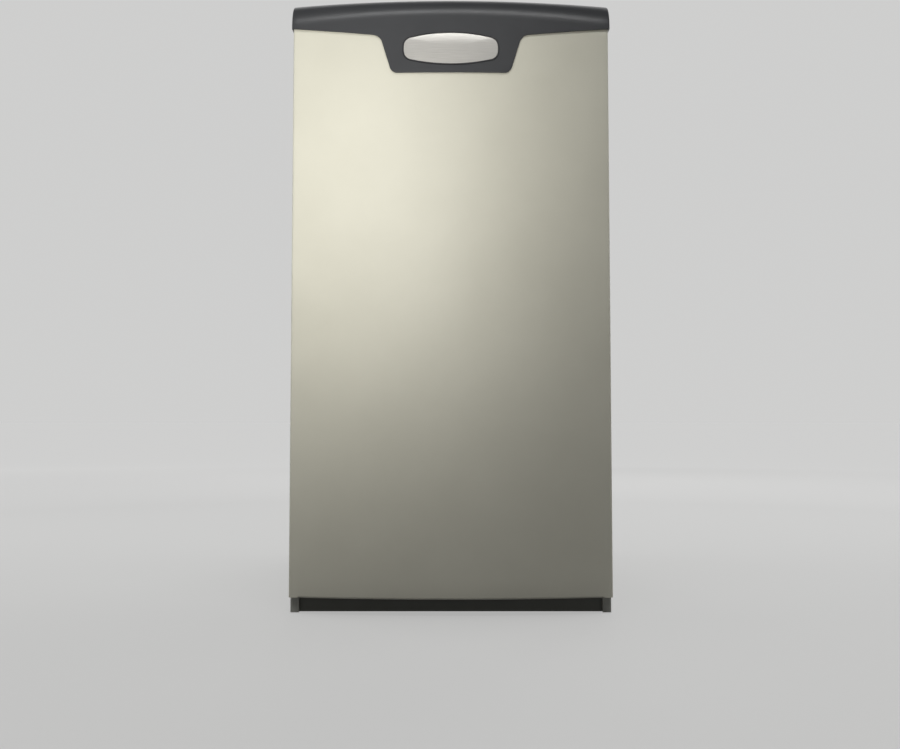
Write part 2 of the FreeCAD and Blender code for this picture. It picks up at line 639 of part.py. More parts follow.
# Hooks inside the door's lower corners: a slot that drops over the stud
hook_outline = [
    (pivot_y - s.hook_front, pivot_z - s.hook_down),
    (pivot_y + s.hook_back - s.hook_corner, pivot_z - s.hook_down),
    (pivot_y + s.hook_back, pivot_z - s.hook_down + s.hook_corner),
    (pivot_y + s.hook_back, pivot_z + s.hook_up),
    (pivot_y - s.hook_front, pivot_z + s.hook_up),
]
hook_x = door_inner - s.hook_sheet
slot_radius = s.pivot_radius + s.pivot_play
hook = cut(
    slab("YZ_Plane", hook_outline, hook_x, s.hook_sheet),
    rod("x", hook_x - s.overrun, pivot_y, pivot_z, slot_radius, s.hook_sheet + 2 * s.overrun),
    block(hook_x - s.overrun, door_inner + s.overrun, pivot_y - slot_radius, pivot_y + slot_radius,
          pivot_z - s.hook_down - s.overrun, pivot_z))
node("door_hooks", pair(hook))

# Door rails: two channels across the inside, the upper one carrying the catch studs
rail_back = front - s.gasket - s.free_gap
rail_top = door_top - s.door_sheet


def door_rail(z0):
    """A channel across the door, open to the front."""
    z1 = z0 + s.rail_height
    stock = block(-door_inner, door_inner, rail_back - s.rail_reach, rail_back, z0, z1)
    well = block(-door_inner, door_inner, rail_back - s.rail_reach - s.overrun, rail_back - s.gauge,
                 z0 + s.gauge, z1 - s.gauge)
    return cut(stock, well)


top_rail_low = rail_top - s.rail_height
node("door_stiffeners", group(door_rail(top_rail_low), door_rail(s.low_rail_height)))
catch = fuse(
    rod("y", catch_x, rail_back, catch_z, s.catch_radius, s.catch_reach - s.catch_tip),
    cone("y", catch_x, rail_back + s.catch_reach - s.catch_tip, catch_z, s.catch_radius,
         s.catch_radius / 2, s.catch_tip))
node("catch_studs", pair(catch))

# Door insulation: a blanket that fills the bow in front of the vestibule
node("door_insulation", bowed(bow_radius - s.door_sheet - s.slip_gap, door_inner - s.pad_inset,
                              rail_back, gasket_low, top_rail_low - s.free_gap))

# Door cap: a hollow moulding with a rolled crown, deeper at the ends, and a hanging centre tab
cap_half = half + s.cap_side
cap_back_y = front + s.cap_back
cap_low = cap_top - s.cap_tab_height - s.overrun
YZ_TURN = Rotation(Vector(1, 1, 1), 120)


def cap_section(x, bow, crown, inset):
    """One closed cross section of the cap in the YZ plane."""
    face_y = front - s.door_depth - bow - s.cap_proud + inset
    rear_y = cap_back_y - inset
    top_z = cap_top - inset
    roll = crown - inset
    corners = [(rear_y, cap_low), (face_y, cap_low), (face_y, top_z - roll),
               (face_y + roll, top_z), (rear_y, top_z)]
    spots = [Vector(u.number, v.number, 0) for u, v in corners]
    section = document.addObject("Sketcher::SketchObject", "CapSection")
    section.Placement = Placement(Vector(), YZ_TURN)
    section.setExpression("Placement.Base.x", as_size(x).formula)
    centre = Vector((face_y + roll).number, (top_z - roll).number, 0)
    circle = Part.Circle(centre, Vector(0, 0, 1), roll.number)
    section.addGeometry(Part.LineSegment(spots[0], spots[1]))
    section.addGeometry(Part.LineSegment(spots[1], spots[2]))
    section.addGeometry(Part.LineSegment(spots[3], spots[4]))
    section.addGeometry(Part.LineSegment(spots[4], spots[0]))
    section.addGeometry(Part.ArcOfCircle(circle, math.pi / 2, math.pi))
    for first, first_end, second, second_end in ((0, 2, 1, 1), (2, 2, 3, 1), (3, 2, 0, 1),
                                                 (4, 1, 2, 1), (4, 2, 1, 2)):
        section.addConstraint(
            Sketcher.Constraint("Coincident", first, first_end, second, second_end))
    for geometry, end, (u, v) in ((0, 1, corners[0]), (1, 1, corners[1]), (1, 2, corners[2]),
                                  (2, 1, corners[3]), (3, 1, corners[4])):
        tie_point(section, geometry, end, u, v)
    middle = face_y + roll
    index = section.addConstraint(Sketcher.Constraint("DistanceX", -1, 1, 4, 3, middle.number))
    section.setExpression(f"Constraints[{index}]", middle.formula)
    return section


def cap_form(inset):
    """The cap's solid form, or its hollow when inset by the wall."""
    end_x = cap_half - inset
    loft = document.addObject("Part::Loft", "CapForm")
    loft.Sections = [
        cap_section(-end_x, as_size(0), s.crown_end, inset),
        cap_section(as_size(0), s.door_bow, s.crown_middle, inset),
        cap_section(end_x, as_size(0), s.crown_end, inset)]
    loft.Solid = True
    return loft


cap_shoulder = cap_top - s.cap_shoulder_height
cap_tab = cap_top - s.cap_tab_height
cap_end = cap_top - s.cap_end_height
cap_reach = cap_half + s.overrun
tab_right = [(s.tab_lower_half, cap_tab), (s.tab_upper_half, cap_shoulder), (cap_half, cap_end),
             (cap_reach, cap_end), (cap_reach, cap_top + s.overrun)]
tab_left = [(-x, z) for x, z in reversed(tab_right)]
cap_front_y = front - front_reach - s.overrun
cap_outline = slab("XZ_Plane", tab_right + tab_left, -cap_back_y - s.overrun,
                   cap_back_y + s.overrun - cap_front_y)
round_edges(cap_outline, s.tab_outer_round, lambda edge: any(
    is_at(edge, x=x, z=cap_tab) for x in (s.tab_lower_half, -s.tab_lower_half)))
round_edges(cap_outline, s.tab_inner_round, lambda edge: any(
    is_at(edge, x=x, z=cap_shoulder) for x in (s.tab_upper_half, -s.tab_upper_half)))
cap_hollow = common(cap_form(s.cap_wall), block(-cap_reach, cap_reach, cap_front_y, cap_back_y,
                                               door_top, cap_top))
door_room = bowed(bow_radius + s.slip_gap, half + s.slip_gap, cap_back_y + s.overrun, door_bottom,
                  door_top)
cabinet_room = block(-cap_reach, cap_reach, front - s.free_gap, cap_back_y + s.overrun, cap_low,
                     s.cabinet_height + s.cap_lift)
badge_z = cap_top - s.badge_drop
badge_length = s.door_depth + s.door_bow + 2 * s.overrun


def badge_outline(grow):
    """An upright prism with the badge's barrel outline."""
    arc = s.badge_arc + grow
    side_arc = s.badge_side_arc + grow
    rise = s.badge_arc - s.badge_height / 2
    run = s.badge_width / 2 - s.badge_side_arc
    lens = common(
        rod("y", 0, cap_front_y, badge_z - rise, arc, badge_length),
        rod("y", 0, cap_front_y, badge_z + rise, arc, badge_length),
        block(-s.badge_width, s.badge_width, cap_front_y, cap_front_y + badge_length,
              badge_z - s.badge_side_arc, badge_z + s.badge_side_arc))
    ends = fuse(
        rod("y", run, cap_front_y, badge_z, side_arc, badge_length),
        rod("y", -run, cap_front_y, badge_z, side_arc, badge_length),
        block(-run, run, cap_front_y, cap_front_y + badge_length, badge_z - side_arc, badge_z + side_arc))
    outline = common(lens, ends)
    document.recompute()
    rounded = document.addObject("Part::Fillet", "BadgeOutline")
    rounded.Base = outline
    corner = s.badge_corner.number
    rounded.Edges = [
        (i, corner, corner) for i, edge in enumerate(outline.Shape.Edges, start=1)
        if len(edge.Vertexes) == 2 and abs(edge.tangentAt(edge.FirstParameter).y) > 1 - s.near.number]
    return rounded


def badge_drum(radius):
    """An upright drum about the door's centre line, as tall as the tab."""
    return rod("z", 0, bow_centre, cap_tab, radius, cap_top - cap_tab)


cap_face = bow_radius + s.cap_proud
seat_face = cap_face - s.badge_seat
badge_seat = cut(badge_outline(s.slip_gap), badge_drum(seat_face))
node("door_cap", cut(common(cap_form(as_size(0)), cap_outline), cap_hollow, door_room, cabinet_room,
                     badge_seat))
node("badge", cut(common(badge_outline(as_size(0)), badge_drum(cap_face + s.badge_rise)),
                  badge_drum(seat_face)))

# Blower access panel: rests on the kick plate, with a sight glass over the control board
panel_x = lip_x + s.panel_lap
panel_top = deck - s.panel_top_gap
window_z = panel_top - s.window_drop
panel_stock = fuse(
    block(-panel_x, panel_x, front - s.gauge, front, s.kick_height, panel_top),
    block(-lip_x + s.free_gap, lip_x - s.free_gap, front, lip_y, s.kick_height,
          s.kick_height + s.gauge))
panel_cutters = [rod("y", s.window_side, front - s.overrun, window_z, s.window_radius, 2 * s.overrun)]
panel_cutters += [rod("y", side * s.latch_side, front - s.overrun, latch_z,
                      s.latch_shaft + s.free_gap, 2 * s.overrun) for side in (1, -1)]
node("blower_access_panel", cut(panel_stock, *panel_cutters))
node("sight_glass", rod("y", s.window_side, front, window_z, s.window_radius + s.window_lip,
                        s.window_depth))


def latch(side):
    """A quarter-turn latch: knob and wing in front, cam behind the rail, shown locked."""
    x = side * s.latch_side
    knob_back = front - s.gauge - s.free_gap
    knob_front = knob_back - s.latch_knob_depth
    cam_front = front + s.gauge + s.free_gap
    cam_back = cam_front + s.latch_cam_depth
    return fuse(
        rod("y", x, knob_front, latch_z, s.latch_knob, s.latch_knob_depth),
        block(x - s.latch_wing_half, x + s.latch_wing_half, knob_front - s.latch_wing, knob_back,
              latch_z - s.latch_knob, latch_z + s.latch_knob),
        rod("y", x, knob_front, latch_z, s.latch_shaft, cam_back - knob_front),
        block(x - s.latch_cam_width / 2, x + s.latch_cam_width / 2, cam_front, cam_back,
              latch_z - s.latch_cam_half, latch_z + s.latch_cam_half))


node("latch_right", latch(1))
node("latch_left", latch(-1))

# Door interlock: a switch behind the deck rail and its sprung plunger
plunger_y = front + s.free_gap
interlock_body = block(
    s.interlock_side - s.interlock_width / 2, s.interlock_side + s.interlock_width / 2,
    front + s.gauge, front + s.gauge + s.interlock_depth,
    interlock_z - s.interlock_height / 2, interlock_z + s.interlock_height / 2)
plunger_bore = rod("y", s.interlock_side, front, interlock_z, s.plunger_radius + s.free_gap,
                   s.plunger_length + s.plunger_travel + 2 * s.free_gap)
node("interlock_switch", cut(interlock_body, plunger_bore))
node("interlock_plunger", rod("y", s.interlock_side, plunger_y, interlock_z, s.plunger_radius,
                              s.plunger_length))


def scroll(inset, half_width, top):
    """A solid scroll in three quarter arcs of growing radius, with an upright outlet."""
    y = blower_y.number
    z = blower_z.number
    step = s.scroll_step.number
    radius = s.scroll_radius.number - inset
    diagonal = math.sqrt(2) / 2
    lip = Vector(0, y + inset, z + math.sqrt(radius ** 2 - inset ** 2))
    front_end = Vector(0, y - radius, z)
    low_end = Vector(0, y + step, z - radius - step)
    back_end = Vector(0, y + 3 * step + radius, z + step)
    top_back = Vector(0, back_end.y, top)
    top_front = Vector(0, lip.y, top)
    arcs = [
        Part.Arc(lip, Vector(0, y - radius * diagonal, z + radius * diagonal), front_end),
        Part.Arc(front_end, Vector(0, y + step - (radius + step) * diagonal,
                                   z - (radius + step) * diagonal), low_end),
        Part.Arc(low_end, Vector(0, y + step + (radius + 2 * step) * diagonal,
                                 z + step - (radius + 2 * step) * diagonal), back_end),
    ]
    lines = [Part.LineSegment(back_end, top_back), Part.LineSegment(top_back, top_front),
             Part.LineSegment(top_front, lip)]
    wire = Part.Wire([curve.toShape() for curve in arcs + lines])
    face = Part.Face(wire)
    face.translate(Vector(-half_width, 0, 0))
    solid = document.addObject("Part::Feature", "Scroll")
    solid.Shape = face.extrude(Vector(2 * half_width, 0, 0))
    return solid


# Blower housing: a sheet scroll hung under the deck, with a rolled ring round each inlet
sheet_metal = s.scroll_sheet.number
scroll_flange = block(s.scroll_half, s.scroll_half + s.scroll_flange, blower_y, scroll_back,
                      under_deck - s.scroll_sheet, under_deck)
inlet_ring = rod("x", s.scroll_half, blower_y, blower_z, s.inlet_radius + s.inlet_ring, s.inlet_ring)
inlet_reach = s.scroll_half + s.inlet_ring + s.overrun
node("blower_housing", cut(
    fuse(scroll(0, s.scroll_half.number, under_deck.number), scroll_flange, mirror(scroll_flange),
         inlet_ring, mirror(inlet_ring)),
    scroll(sheet_metal, s.scroll_half.number - sheet_metal, deck.number + s.overrun.number),
    rod("x", -inlet_reach, blower_y, blower_z, s.inlet_radius, 2 * inlet_reach)))

# Blower wheel: slanted blades between two rims, a centre web and a hub
blade_in = s.wheel_radius - s.blade_depth
blade_out = s.wheel_radius - s.blade_sheet
blade_outline = [(as_size(0), blade_in), (s.blade_sheet, blade_in),
                 (s.blade_slant + s.blade_sheet, blade_out), (s.blade_slant, blade_out)]
wheel_half = s.scroll_half - s.wheel_gap
blades = slab("YZ_Plane", blade_outline, -wheel_half, 2 * wheel_half)
document.recompute()
blade_ring = blades.newObject("PartDesign::PolarPattern", "BladeRing")
blade_ring.Originals = [blades.Tip]
blade_axes = {feature.Role: feature for feature in blades.Origin.OriginFeatures}
blade_ring.Axis = (blade_axes["X_Axis"], [""])
blade_ring.Angle = 360
bind(blade_ring, Occurrences=s.blade_count)
blades.Tip = blade_ring
put(blades, 0, blower_y, blower_z)
rim = tube("x", wheel_half - s.wheel_rim, blower_y, blower_z, s.wheel_radius, blade_in, s.wheel_rim)
web = rod("x", s.wheel_web, blower_y, blower_z, blade_out, s.wheel_rim)
hub_start = s.wheel_web - s.hub_length / 2
hub = rod("x", hub_start, blower_y, blower_z, s.hub_radius, s.hub_length)
node("blower_wheel", cut(
    fuse(blades, rim, mirror(rim), web, hub),
    rod("x", hub_start - s.overrun, blower_y, blower_z, s.shaft_radius + s.slip_gap,
        s.hub_length + 2 * s.overrun)))

# Blower motor, half inside the wheel, with its shaft and its three-armed mount
motor_start = -s.scroll_half - s.motor_out
motor_end = motor_start + s.motor_length
shaft_start = motor_end - s.shaft_entry
node("blower_shaft", rod("x", shaft_start + s.free_gap, blower_y, blower_z, s.shaft_radius,
                         hub_start + s.hub_length - shaft_start))
node("blower_motor", cut(
    rod("x", motor_start, blower_y, blower_z, s.motor_radius, s.motor_length),
    rod("x", shaft_start, blower_y, blower_z, s.shaft_radius + s.free_gap,
        s.shaft_entry + s.overrun)))
band_start = motor_start + s.arm_sheet
band_radius = s.motor_radius + s.slip_gap + s.band_sheet
band = tube("x", band_start, blower_y, blower_z, band_radius, s.motor_radius + s.slip_gap,
            s.band_width)
arm_end = s.inlet_radius + s.inlet_ring + s.arm_lap
arm = fuse(
    block(band_start, band_start + s.arm_sheet, -s.arm_width / 2, s.arm_width / 2,
          band_radius - s.band_sheet / 2, arm_end),
    block(band_start, -s.scroll_half, -s.arm_width / 2, s.arm_width / 2, arm_end - s.arm_sheet,
          arm_end),
    block(-s.scroll_half - s.arm_sheet, -s.scroll_half, -s.arm_width / 2, s.arm_width / 2,
          arm_end - s.arm_sheet, arm_end + s.arm_lap))
arm_turns = [Rotation(Vector(1, 0, 0), 360 * i / SIZES["arm_count"]) for i in range(SIZES["arm_count"])]
arms = copies(arm, [at(0, blower_y, blower_z, turn) for turn in arm_turns])
node("motor_mount", fuse(band, arms))

# Control tray under the deck, with the control board and the transformer on its front
tray_y = front + s.tray_stand
node("control_tray", fuse(
    block(-s.tray_left, s.tray_right, tray_y, tray_y + s.gauge, under_deck - s.tray_drop, under_deck),
    block(-s.tray_left, s.tray_right, tray_y, tray_y + s.fold, under_deck - s.gauge, under_deck)))
board_left = -s.tray_left + s.board_inset
board_right = board_left + s.board_width
board_top = under_deck - s.board_drop
board_low = board_top - s.board_height
board_back = tray_y - s.board_stand
board_front = board_back - s.board_sheet
board_pieces = [block(board_left, board_right, board_front, board_back, board_low, board_top)]
for x in (board_left + s.board_inset, board_right - s.board_inset):
    for z in (board_low + s.board_inset, board_top - s.board_inset):
        board_pieces.append(rod("y", x, board_front, z, s.post_radius, tray_y - board_front))
relay_top = board_top - s.relay_height
for i in range(SIZES["relay_count"]):
    x = board_left + 2 * s.board_inset + s.relay_pitch * i
    board_pieces.append(block(x, x + s.relay_width, board_front - s.relay_depth, board_back,
                              relay_top - s.relay_height, relay_top))
strip_left = board_left + 2 * s.board_inset
board_pieces.append(block(strip_left, strip_left + s.strip_length, board_front - s.strip_depth,
                          board_back, board_low, board_low + s.strip_height))
button_x = (board_left + board_right) / 2
button_z = (board_low + board_top) / 2
button_front = board_front - s.button_depth
board_pieces.append(block(button_x - s.button_box / 2, button_x + s.button_box / 2, button_front,
                          board_back, button_z - s.button_box / 2, button_z + s.button_box / 2))
button_well = s.button_length + s.button_travel + s.free_gap
node("control_board", cut(
    fuse(*board_pieces), rod("y", button_x, button_front - s.overrun, button_z,
                             s.button_radius + s.free_gap, s.overrun + button_well)))
node("control_button", rod("y", button_x, button_front - s.button_out, button_z, s.button_radius,
                           s.button_out + s.button_length))
core_right = s.core_left + s.core_width
core_top = under_deck - s.core_drop
core_low = core_top - s.core_height
coil_inset = s.core_width * (1 - s.coil_share) / 2
node("transformer", fuse(
    block(s.core_left, core_right, tray_y - s.core_depth, tray_y, core_low, core_top),
    block(s.core_left + coil_inset, core_right - coil_inset, tray_y - s.core_depth - s.coil_bulge,
          tray_y, core_low + s.coil_bulge, core_top - s.coil_bulge)))

# Gas manifold with a boss at each burner and two tabs to the burner rack
burner_front = manifold_y + s.boss_reach + s.orifice_length - s.orifice_entry
rack_y = burner_front + s.flare_length + s.rack_set
valve_left = -inner + s.valve_gap
valve_right = valve_left + s.valve_width
manifold_end = burner_last + s.manifold_end
manifold = [rod("x", valve_right, manifold_y, burner_z, s.manifold_radius, manifold_end - valve_right),
            rod("x", manifold_end, manifold_y, burner_z, s.manifold_radius + s.burner_wall,
                s.manifold_end / 2)]
manifold += [rod("y", x, manifold_y, burner_z, s.boss_radius, s.boss_reach) for x in burner_xs]
for x in (burner_xs[0] + s.burner_pitch / 2, burner_last - s.burner_pitch / 2):
    manifold.append(block(x - s.tab_width / 2, x + s.tab_width / 2, manifold_y, rack_y,
                          burner_z - s.gauge, burner_z + s.gauge))
node("gas_manifold", fuse(*manifold))
orifice = fuse(
    rod("y", 0, 0, 0, s.orifice_radius, s.orifice_length - s.orifice_entry),
    cone("y", 0, s.orifice_length - s.orifice_entry, 0, s.orifice_radius, s.orifice_radius / 2,
         s.orifice_entry))
node("gas_orifices", copies(orifice, [at(x, manifold_y + s.boss_reach, burner_z) for x in burner_xs]))

# Inshot burners: flared inlet, throat and flame head, turned from a thin outline
throat_end = s.flare_length + s.throat_length
spread_end = throat_end + s.spread_length
head_end = spread_end + s.head_length
burner_outer = [(s.flare_radius, as_size(0)), (s.throat_radius, s.flare_length),
                (s.throat_radius, throat_end), (s.head_radius, spread_end), (s.head_radius, head_end)]
burner_inner = [(radius - s.burner_wall, along) for radius, along in reversed(burner_outer)]
burner = spin(burner_outer + burner_inner)
node("burners", copies(burner, [at(x, burner_front, burner_z) for x in burner_xs]))

# Burner rack: a sheet cradle in front of the vestibule wall
rack_left = s.burner_first - s.rack_side
rack_right = burner_last + s.rack_side
rack_low = burner_z - s.rack_half
rack_high = burner_z + s.rack_half
probe_y = (burner_front + head_end + vest_front) / 2
rack_stock = block(rack_left, rack_right, rack_y, vest_front, rack_low, rack_high)
rack_well = block(rack_left + s.gauge, rack_right - s.gauge, rack_y + s.gauge,
                  vest_front + s.overrun, rack_low + s.gauge, rack_high + s.overrun)
rack_cutters = [rod("y", x, rack_y - s.overrun, burner_z, s.throat_radius + s.slip_gap,
                    2 * s.overrun) for x in burner_xs]
rack_cutters += [rod("z", x, probe_y, rack_low - s.overrun, s.probe_radius + s.free_gap,
                     2 * s.overrun) for x in (s.burner_first, burner_last)]
node("burner_rack", cut(rack_stock, rack_well, *rack_cutters))


def probe(x, half_base, radius, short):
    """A ceramic base under the rack with a rod that stands in front of a burner head."""
    base = block(x - half_base, x + half_base, probe_y - s.igniter_half, probe_y + s.igniter_half,
                 rack_low - s.igniter_base, rack_low)
    return fuse(base, rod("z", x, probe_y, rack_low - s.igniter_base, radius,
                          burner_z - short - rack_low + s.igniter_base))


node("igniter", probe(s.burner_first, s.igniter_half, s.probe_radius, s.probe_short))
node("flame_sensor", probe(burner_last, s.igniter_half / 2, s.probe_radius / 2, as_size(0)))
rollout_y = (rack_y + vest_front) / 2
node("rollout_switches", group(
    rod("x", rack_left - s.rollout_depth, rollout_y, burner_z, s.rollout_radius, s.rollout_depth),
    rod("x", rack_right, rollout_y, burner_z, s.rollout_radius, s.rollout_depth)))

# Gas valve with a threaded inlet facing the left-hand entry, and its knob
valve_front = manifold_y - s.valve_depth / 2
valve_top = burner_z + s.valve_height / 2
tower_x = (valve_left + valve_right) / 2
valve_stock = fuse(
    block(valve_left, valve_right, valve_front, valve_front + s.valve_depth,
          burner_z - s.valve_height / 2, valve_top),
    rod("x", valve_left - s.inlet_boss_reach, manifold_y, burner_z, s.inlet_boss, s.inlet_boss_reach),
    rod("z", tower_x - s.regulator_radius, manifold_y, valve_top, s.regulator_radius, s.regulator_rise),
    rod("z", tower_x + s.coil_radius, manifold_y, valve_top, s.coil_radius, s.coil_rise))
node("gas_valve", cut(valve_stock, rod(
    "x", valve_left - s.inlet_boss_reach - s.overrun, manifold_y, burner_z, s.gas_bore,
    s.gas_bore_depth + s.overrun)))
knob_back = valve_front - s.free_gap
knob_front = knob_back - s.knob_depth
node("valve_knob", fuse(
    rod("y", tower_x, knob_front, burner_z, s.knob_radius, s.knob_depth),
    block(tower_x - s.knob_bar, tower_x + s.knob_bar, knob_front - s.knob_bar_depth, knob_back,
          burner_z - s.knob_radius, burner_z + s.knob_radius)))

# Junction box on the left wall, behind the conduit entry
box_right = -inner + s.box_width
box_front = front + s.box_stand
box_high = s.box_low + s.box_height
node("junction_box", cut(
    fuse(shell_box(-inner, box_right, box_front, box_front + s.box_depth, s.box_low, box_high, s.gauge),
         block(-inner, box_right + s.box_lip, box_front - s.gauge, box_front, s.box_low - s.box_lip,
               box_high + s.box_lip)),
    rod("x", -inner - s.overrun, conduit_y, conduit_z, s.conduit_hole, 2 * s.overrun)))


def exchanger_pipe(radius):
    """A round bar bent in three level passes with two tangent turns."""
    x = 0
    start = vest_back.number
    rear = (front + s.turn_rear).number
    fore = (front + s.turn_front).number
    end = (front + s.rear_box_stand).number
    top = burner_z.number
    turn = s.pass_pitch.number / 2
    middle = top - 2 * turn
    low = middle - 2 * turn
    curves = [
        Part.LineSegment(Vector(x, start, top), Vector(x, rear, top)),
        Part.Arc(Vector(x, rear, top), Vector(x, rear + turn, top - turn), Vector(x, rear, middle)),
        Part.LineSegment(Vector(x, rear, middle), Vector(x, fore, middle)),
        Part.Arc(Vector(x, fore, middle), Vector(x, fore - turn, middle - turn), Vector(x, fore, low)),
        Part.LineSegment(Vector(x, fore, low), Vector(x, end, low)),
    ]
    path = Part.Wire([curve.toShape() for curve in curves])
    ring = Part.Wire([Part.makeCircle(radius, Vector(x, start, top), Vector(0, 1, 0))])
    return path.makePipeShell([ring], True, False)


# Primary heat exchanger: a bent tube behind each burner, ending in the rear coupling box
bent_tube = document.addObject("Part::Feature", "BentTube")
bent_tube.Shape = exchanger_pipe(s.tube_radius.number).cut(exchanger_pipe(tube_bore.number))
node("exchanger_tubes", copies(bent_tube, [at(x, 0, 0) for x in burner_xs]))
rear_front = front + s.rear_box_stand
last_pass = burner_z - 2 * s.pass_pitch
rear_box = shell_box(-s.coil_half, s.coil_half, rear_front, rear_front + s.rear_box_depth,
                     s.header_low, s.rear_box_top, s.gauge)
node("rear_coupling_box", cut(rear_box, *[
    rod("y", x, rear_front - s.overrun, last_pass, tube_bore, 2 * s.overrun) for x in burner_xs]))

# Secondary coil: fins on straight tubes between the wall and the coupling box, with side baffles
side_plate = block(s.coil_half - s.coil_fin, s.coil_half, vest_back, rear_front, s.coil_low, s.coil_high)
baffle = block(s.coil_half, liner_x, vest_back, rear_front, s.coil_low, s.coil_low + s.gauge)
coil_pieces = [side_plate, mirror(side_plate), baffle, mirror(baffle)]
fin_pitch = (rear_front - vest_back - s.coil_fin) / (s.coil_fin_count - 1)
for i in range(SIZES["coil_fin_count"]):
    y = vest_back + fin_pitch * i
    coil_pieces.append(block(-s.coil_half, s.coil_half, y, y + s.coil_fin, s.coil_low, s.coil_high))
coil_tube_pitch = 2 * s.coil_half / s.coil_tube_count
coil_row = (s.coil_high - s.coil_low) / 4
for i in range(SIZES["coil_tube_count"]):
    x = -s.coil_half + coil_tube_pitch / 2 + coil_tube_pitch * i
    for z in (s.coil_low + coil_row, s.coil_high - coil_row):
        coil_pieces.append(rod("y", x, vest_back, z, s.coil_tube, rear_front - vest_back))
node("secondary_coil", fuse(*coil_pieces))

# Cold header on the front of the vestibule wall, with a port for the pressure hose
switch_back = vest_front - s.switch_bracket
switch_front = switch_back - s.switch_depth
port_y = (switch_front + switch_back) / 2
header_stock = fuse(
    block(-s.header_half, s.header_half, header_front, vest_front, s.header_low, s.header_high),
    rod("z", s.switch_side, port_y, s.header_high, s.port_radius, s.port_length))
header_well = block(-s.header_half + s.header_wall, s.header_half - s.header_wall,
                    header_front + s.header_wall, vest_front + s.overrun,
                    s.header_low + s.header_wall, s.header_high - s.header_wall)
header_port = rod("y", s.inducer_side, header_front - s.overrun, s.inducer_height, s.header_hole,
                  2 * s.overrun)
node("cold_header", cut(header_stock, header_well, header_port))

# Draft inducer: a round housing with a side duct and an upright outlet
wall = s.inducer_wall
fan_x = s.inducer_side
fan_z = s.inducer_height
spigot_top = s.inducer_box_top + s.spigot_rise
pipe_bore = s.pipe_radius - s.pipe_wall
inducer_stock = fuse(
    rod("y", fan_x, inducer_front, fan_z, s.inducer_radius, s.inducer_depth),
    block(fan_x, s.inducer_box_side, inducer_front, header_front, fan_z, s.inducer_box_top),
    rod("z", s.pipe_side, pipe_y, s.inducer_box_top - wall, s.pipe_radius, s.spigot_rise + wall))
inducer_well = fuse(
    rod("y", fan_x, inducer_front + wall, fan_z, s.inducer_radius - wall, s.inducer_depth - 2 * wall),
    block(fan_x, s.inducer_box_side - wall, inducer_front + wall, header_front - wall, fan_z + wall,
          s.inducer_box_top - wall))
node("inducer_housing", cut(
    inducer_stock, inducer_well,
    rod("z", s.pipe_side, pipe_y, s.inducer_box_top - 2 * wall, pipe_bore, s.spigot_rise + s.overrun),
    rod("y", fan_x, header_front - 2 * wall, fan_z, s.header_hole, 2 * s.overrun),
    rod("y", fan_x, inducer_front - s.overrun, fan_z, s.rotor_shaft + s.free_gap, 2 * s.overrun)))

# Inducer motor on three posts
motor_back = inducer_front - s.motor_post_length
motor_front = motor_back - s.inducer_motor_length
post_turns = [Rotation(Vector(0, 1, 0), 360 * i / SIZES["arm_count"]) for i in range(SIZES["arm_count"])]
post = rod("y", s.motor_post_ring, 0, 0, s.motor_post, s.motor_post_length)
posts = copies(post, [at(fan_x, motor_back, fan_z, turn) for turn in post_turns])
node("inducer_motor", fuse(
    tube("y", fan_x, motor_front, fan_z, s.inducer_motor_radius, s.rotor_shaft + s.free_gap,
         s.inducer_motor_length), posts))

# Inducer rotor: wheel, shaft and the small cooling fan in front of the motor
plate_y = inducer_front + wall + s.rotor_set
blade_y = plate_y + s.rotor_plate
fan_y = motor_front - s.fan_gap - s.fan_depth
rotor_blade = block(-s.rotor_blade / 2, s.rotor_blade / 2, 0, s.rotor_depth, s.rotor_hub / 2,
                    s.rotor_radius)
rotor_turns = [Rotation(Vector(0, 1, 0), 360 * i / SIZES["rotor_count"])
               for i in range(SIZES["rotor_count"])]
rotor_blades = copies(rotor_blade, [at(fan_x, blade_y, fan_z, turn) for turn in rotor_turns])
fan_blade = block(-s.fan_blade_half, s.fan_blade_half, 0, s.fan_depth, 2 * s.fan_blade_half,
                  s.fan_radius)
fan_turns = [Rotation(Vector(0, 1, 0), 360 * i / SIZES["fan_count"]) for i in range(SIZES["fan_count"])]
fan_blades = copies(fan_blade, [at(fan_x, fan_y, fan_z, turn) for turn in fan_turns])
node("inducer_rotor", fuse(
    rod("y", fan_x, plate_y, fan_z, s.rotor_radius, s.rotor_plate), rotor_blades, fan_blades,
    rod("y", fan_x, plate_y, fan_z, s.rotor_hub, s.rotor_depth / 2),
    rod("y", fan_x, fan_y, fan_z, s.rotor_hub, s.fan_depth),
    rod("y", fan_x, fan_y, fan_z, s.rotor_shaft, blade_y - fan_y)))

# Vent pipe from the inducer to the collar, joined by a clamped rubber coupling
coupling_bore = s.pipe_radius + s.slip_gap
coupling_radius = coupling_bore + s.coupling_wall
pipe_low = spigot_top + s.free_gap
node("vent_pipe", tube("z", s.pipe_side, pipe_y, pipe_low, s.pipe_radius, pipe_bore,
                       stop_low - s.free_gap - pipe_low))
node("vent_coupling", tube("z", s.pipe_side, pipe_y, spigot_top - s.coupling_half, coupling_radius,
                           coupling_bore, 2 * s.coupling_half))
clamp_radius = coupling_radius + s.slip_gap
clamps = []
for side in (1, -1):
    z = spigot_top + side * (s.coupling_half - s.clamp_inset)
    band = tube("z", s.pipe_side, pipe_y, z - s.clamp_half, clamp_radius + s.clamp_sheet,
                clamp_radius, 2 * s.clamp_half)
    screw_y = pipe_y - clamp_radius - s.clamp_sheet - s.clamp_screw / 2
    worm = rod("x", s.pipe_side - s.clamp_screw_half, screw_y, z, s.clamp_screw, 2 * s.clamp_screw_half)
    clear = rod("z", s.pipe_side, pipe_y, z - s.clamp_half, clamp_radius, 2 * s.clamp_half)
    clamps.append(fuse(band, cut(worm, clear)))
node("coupling_clamps", group(*clamps))

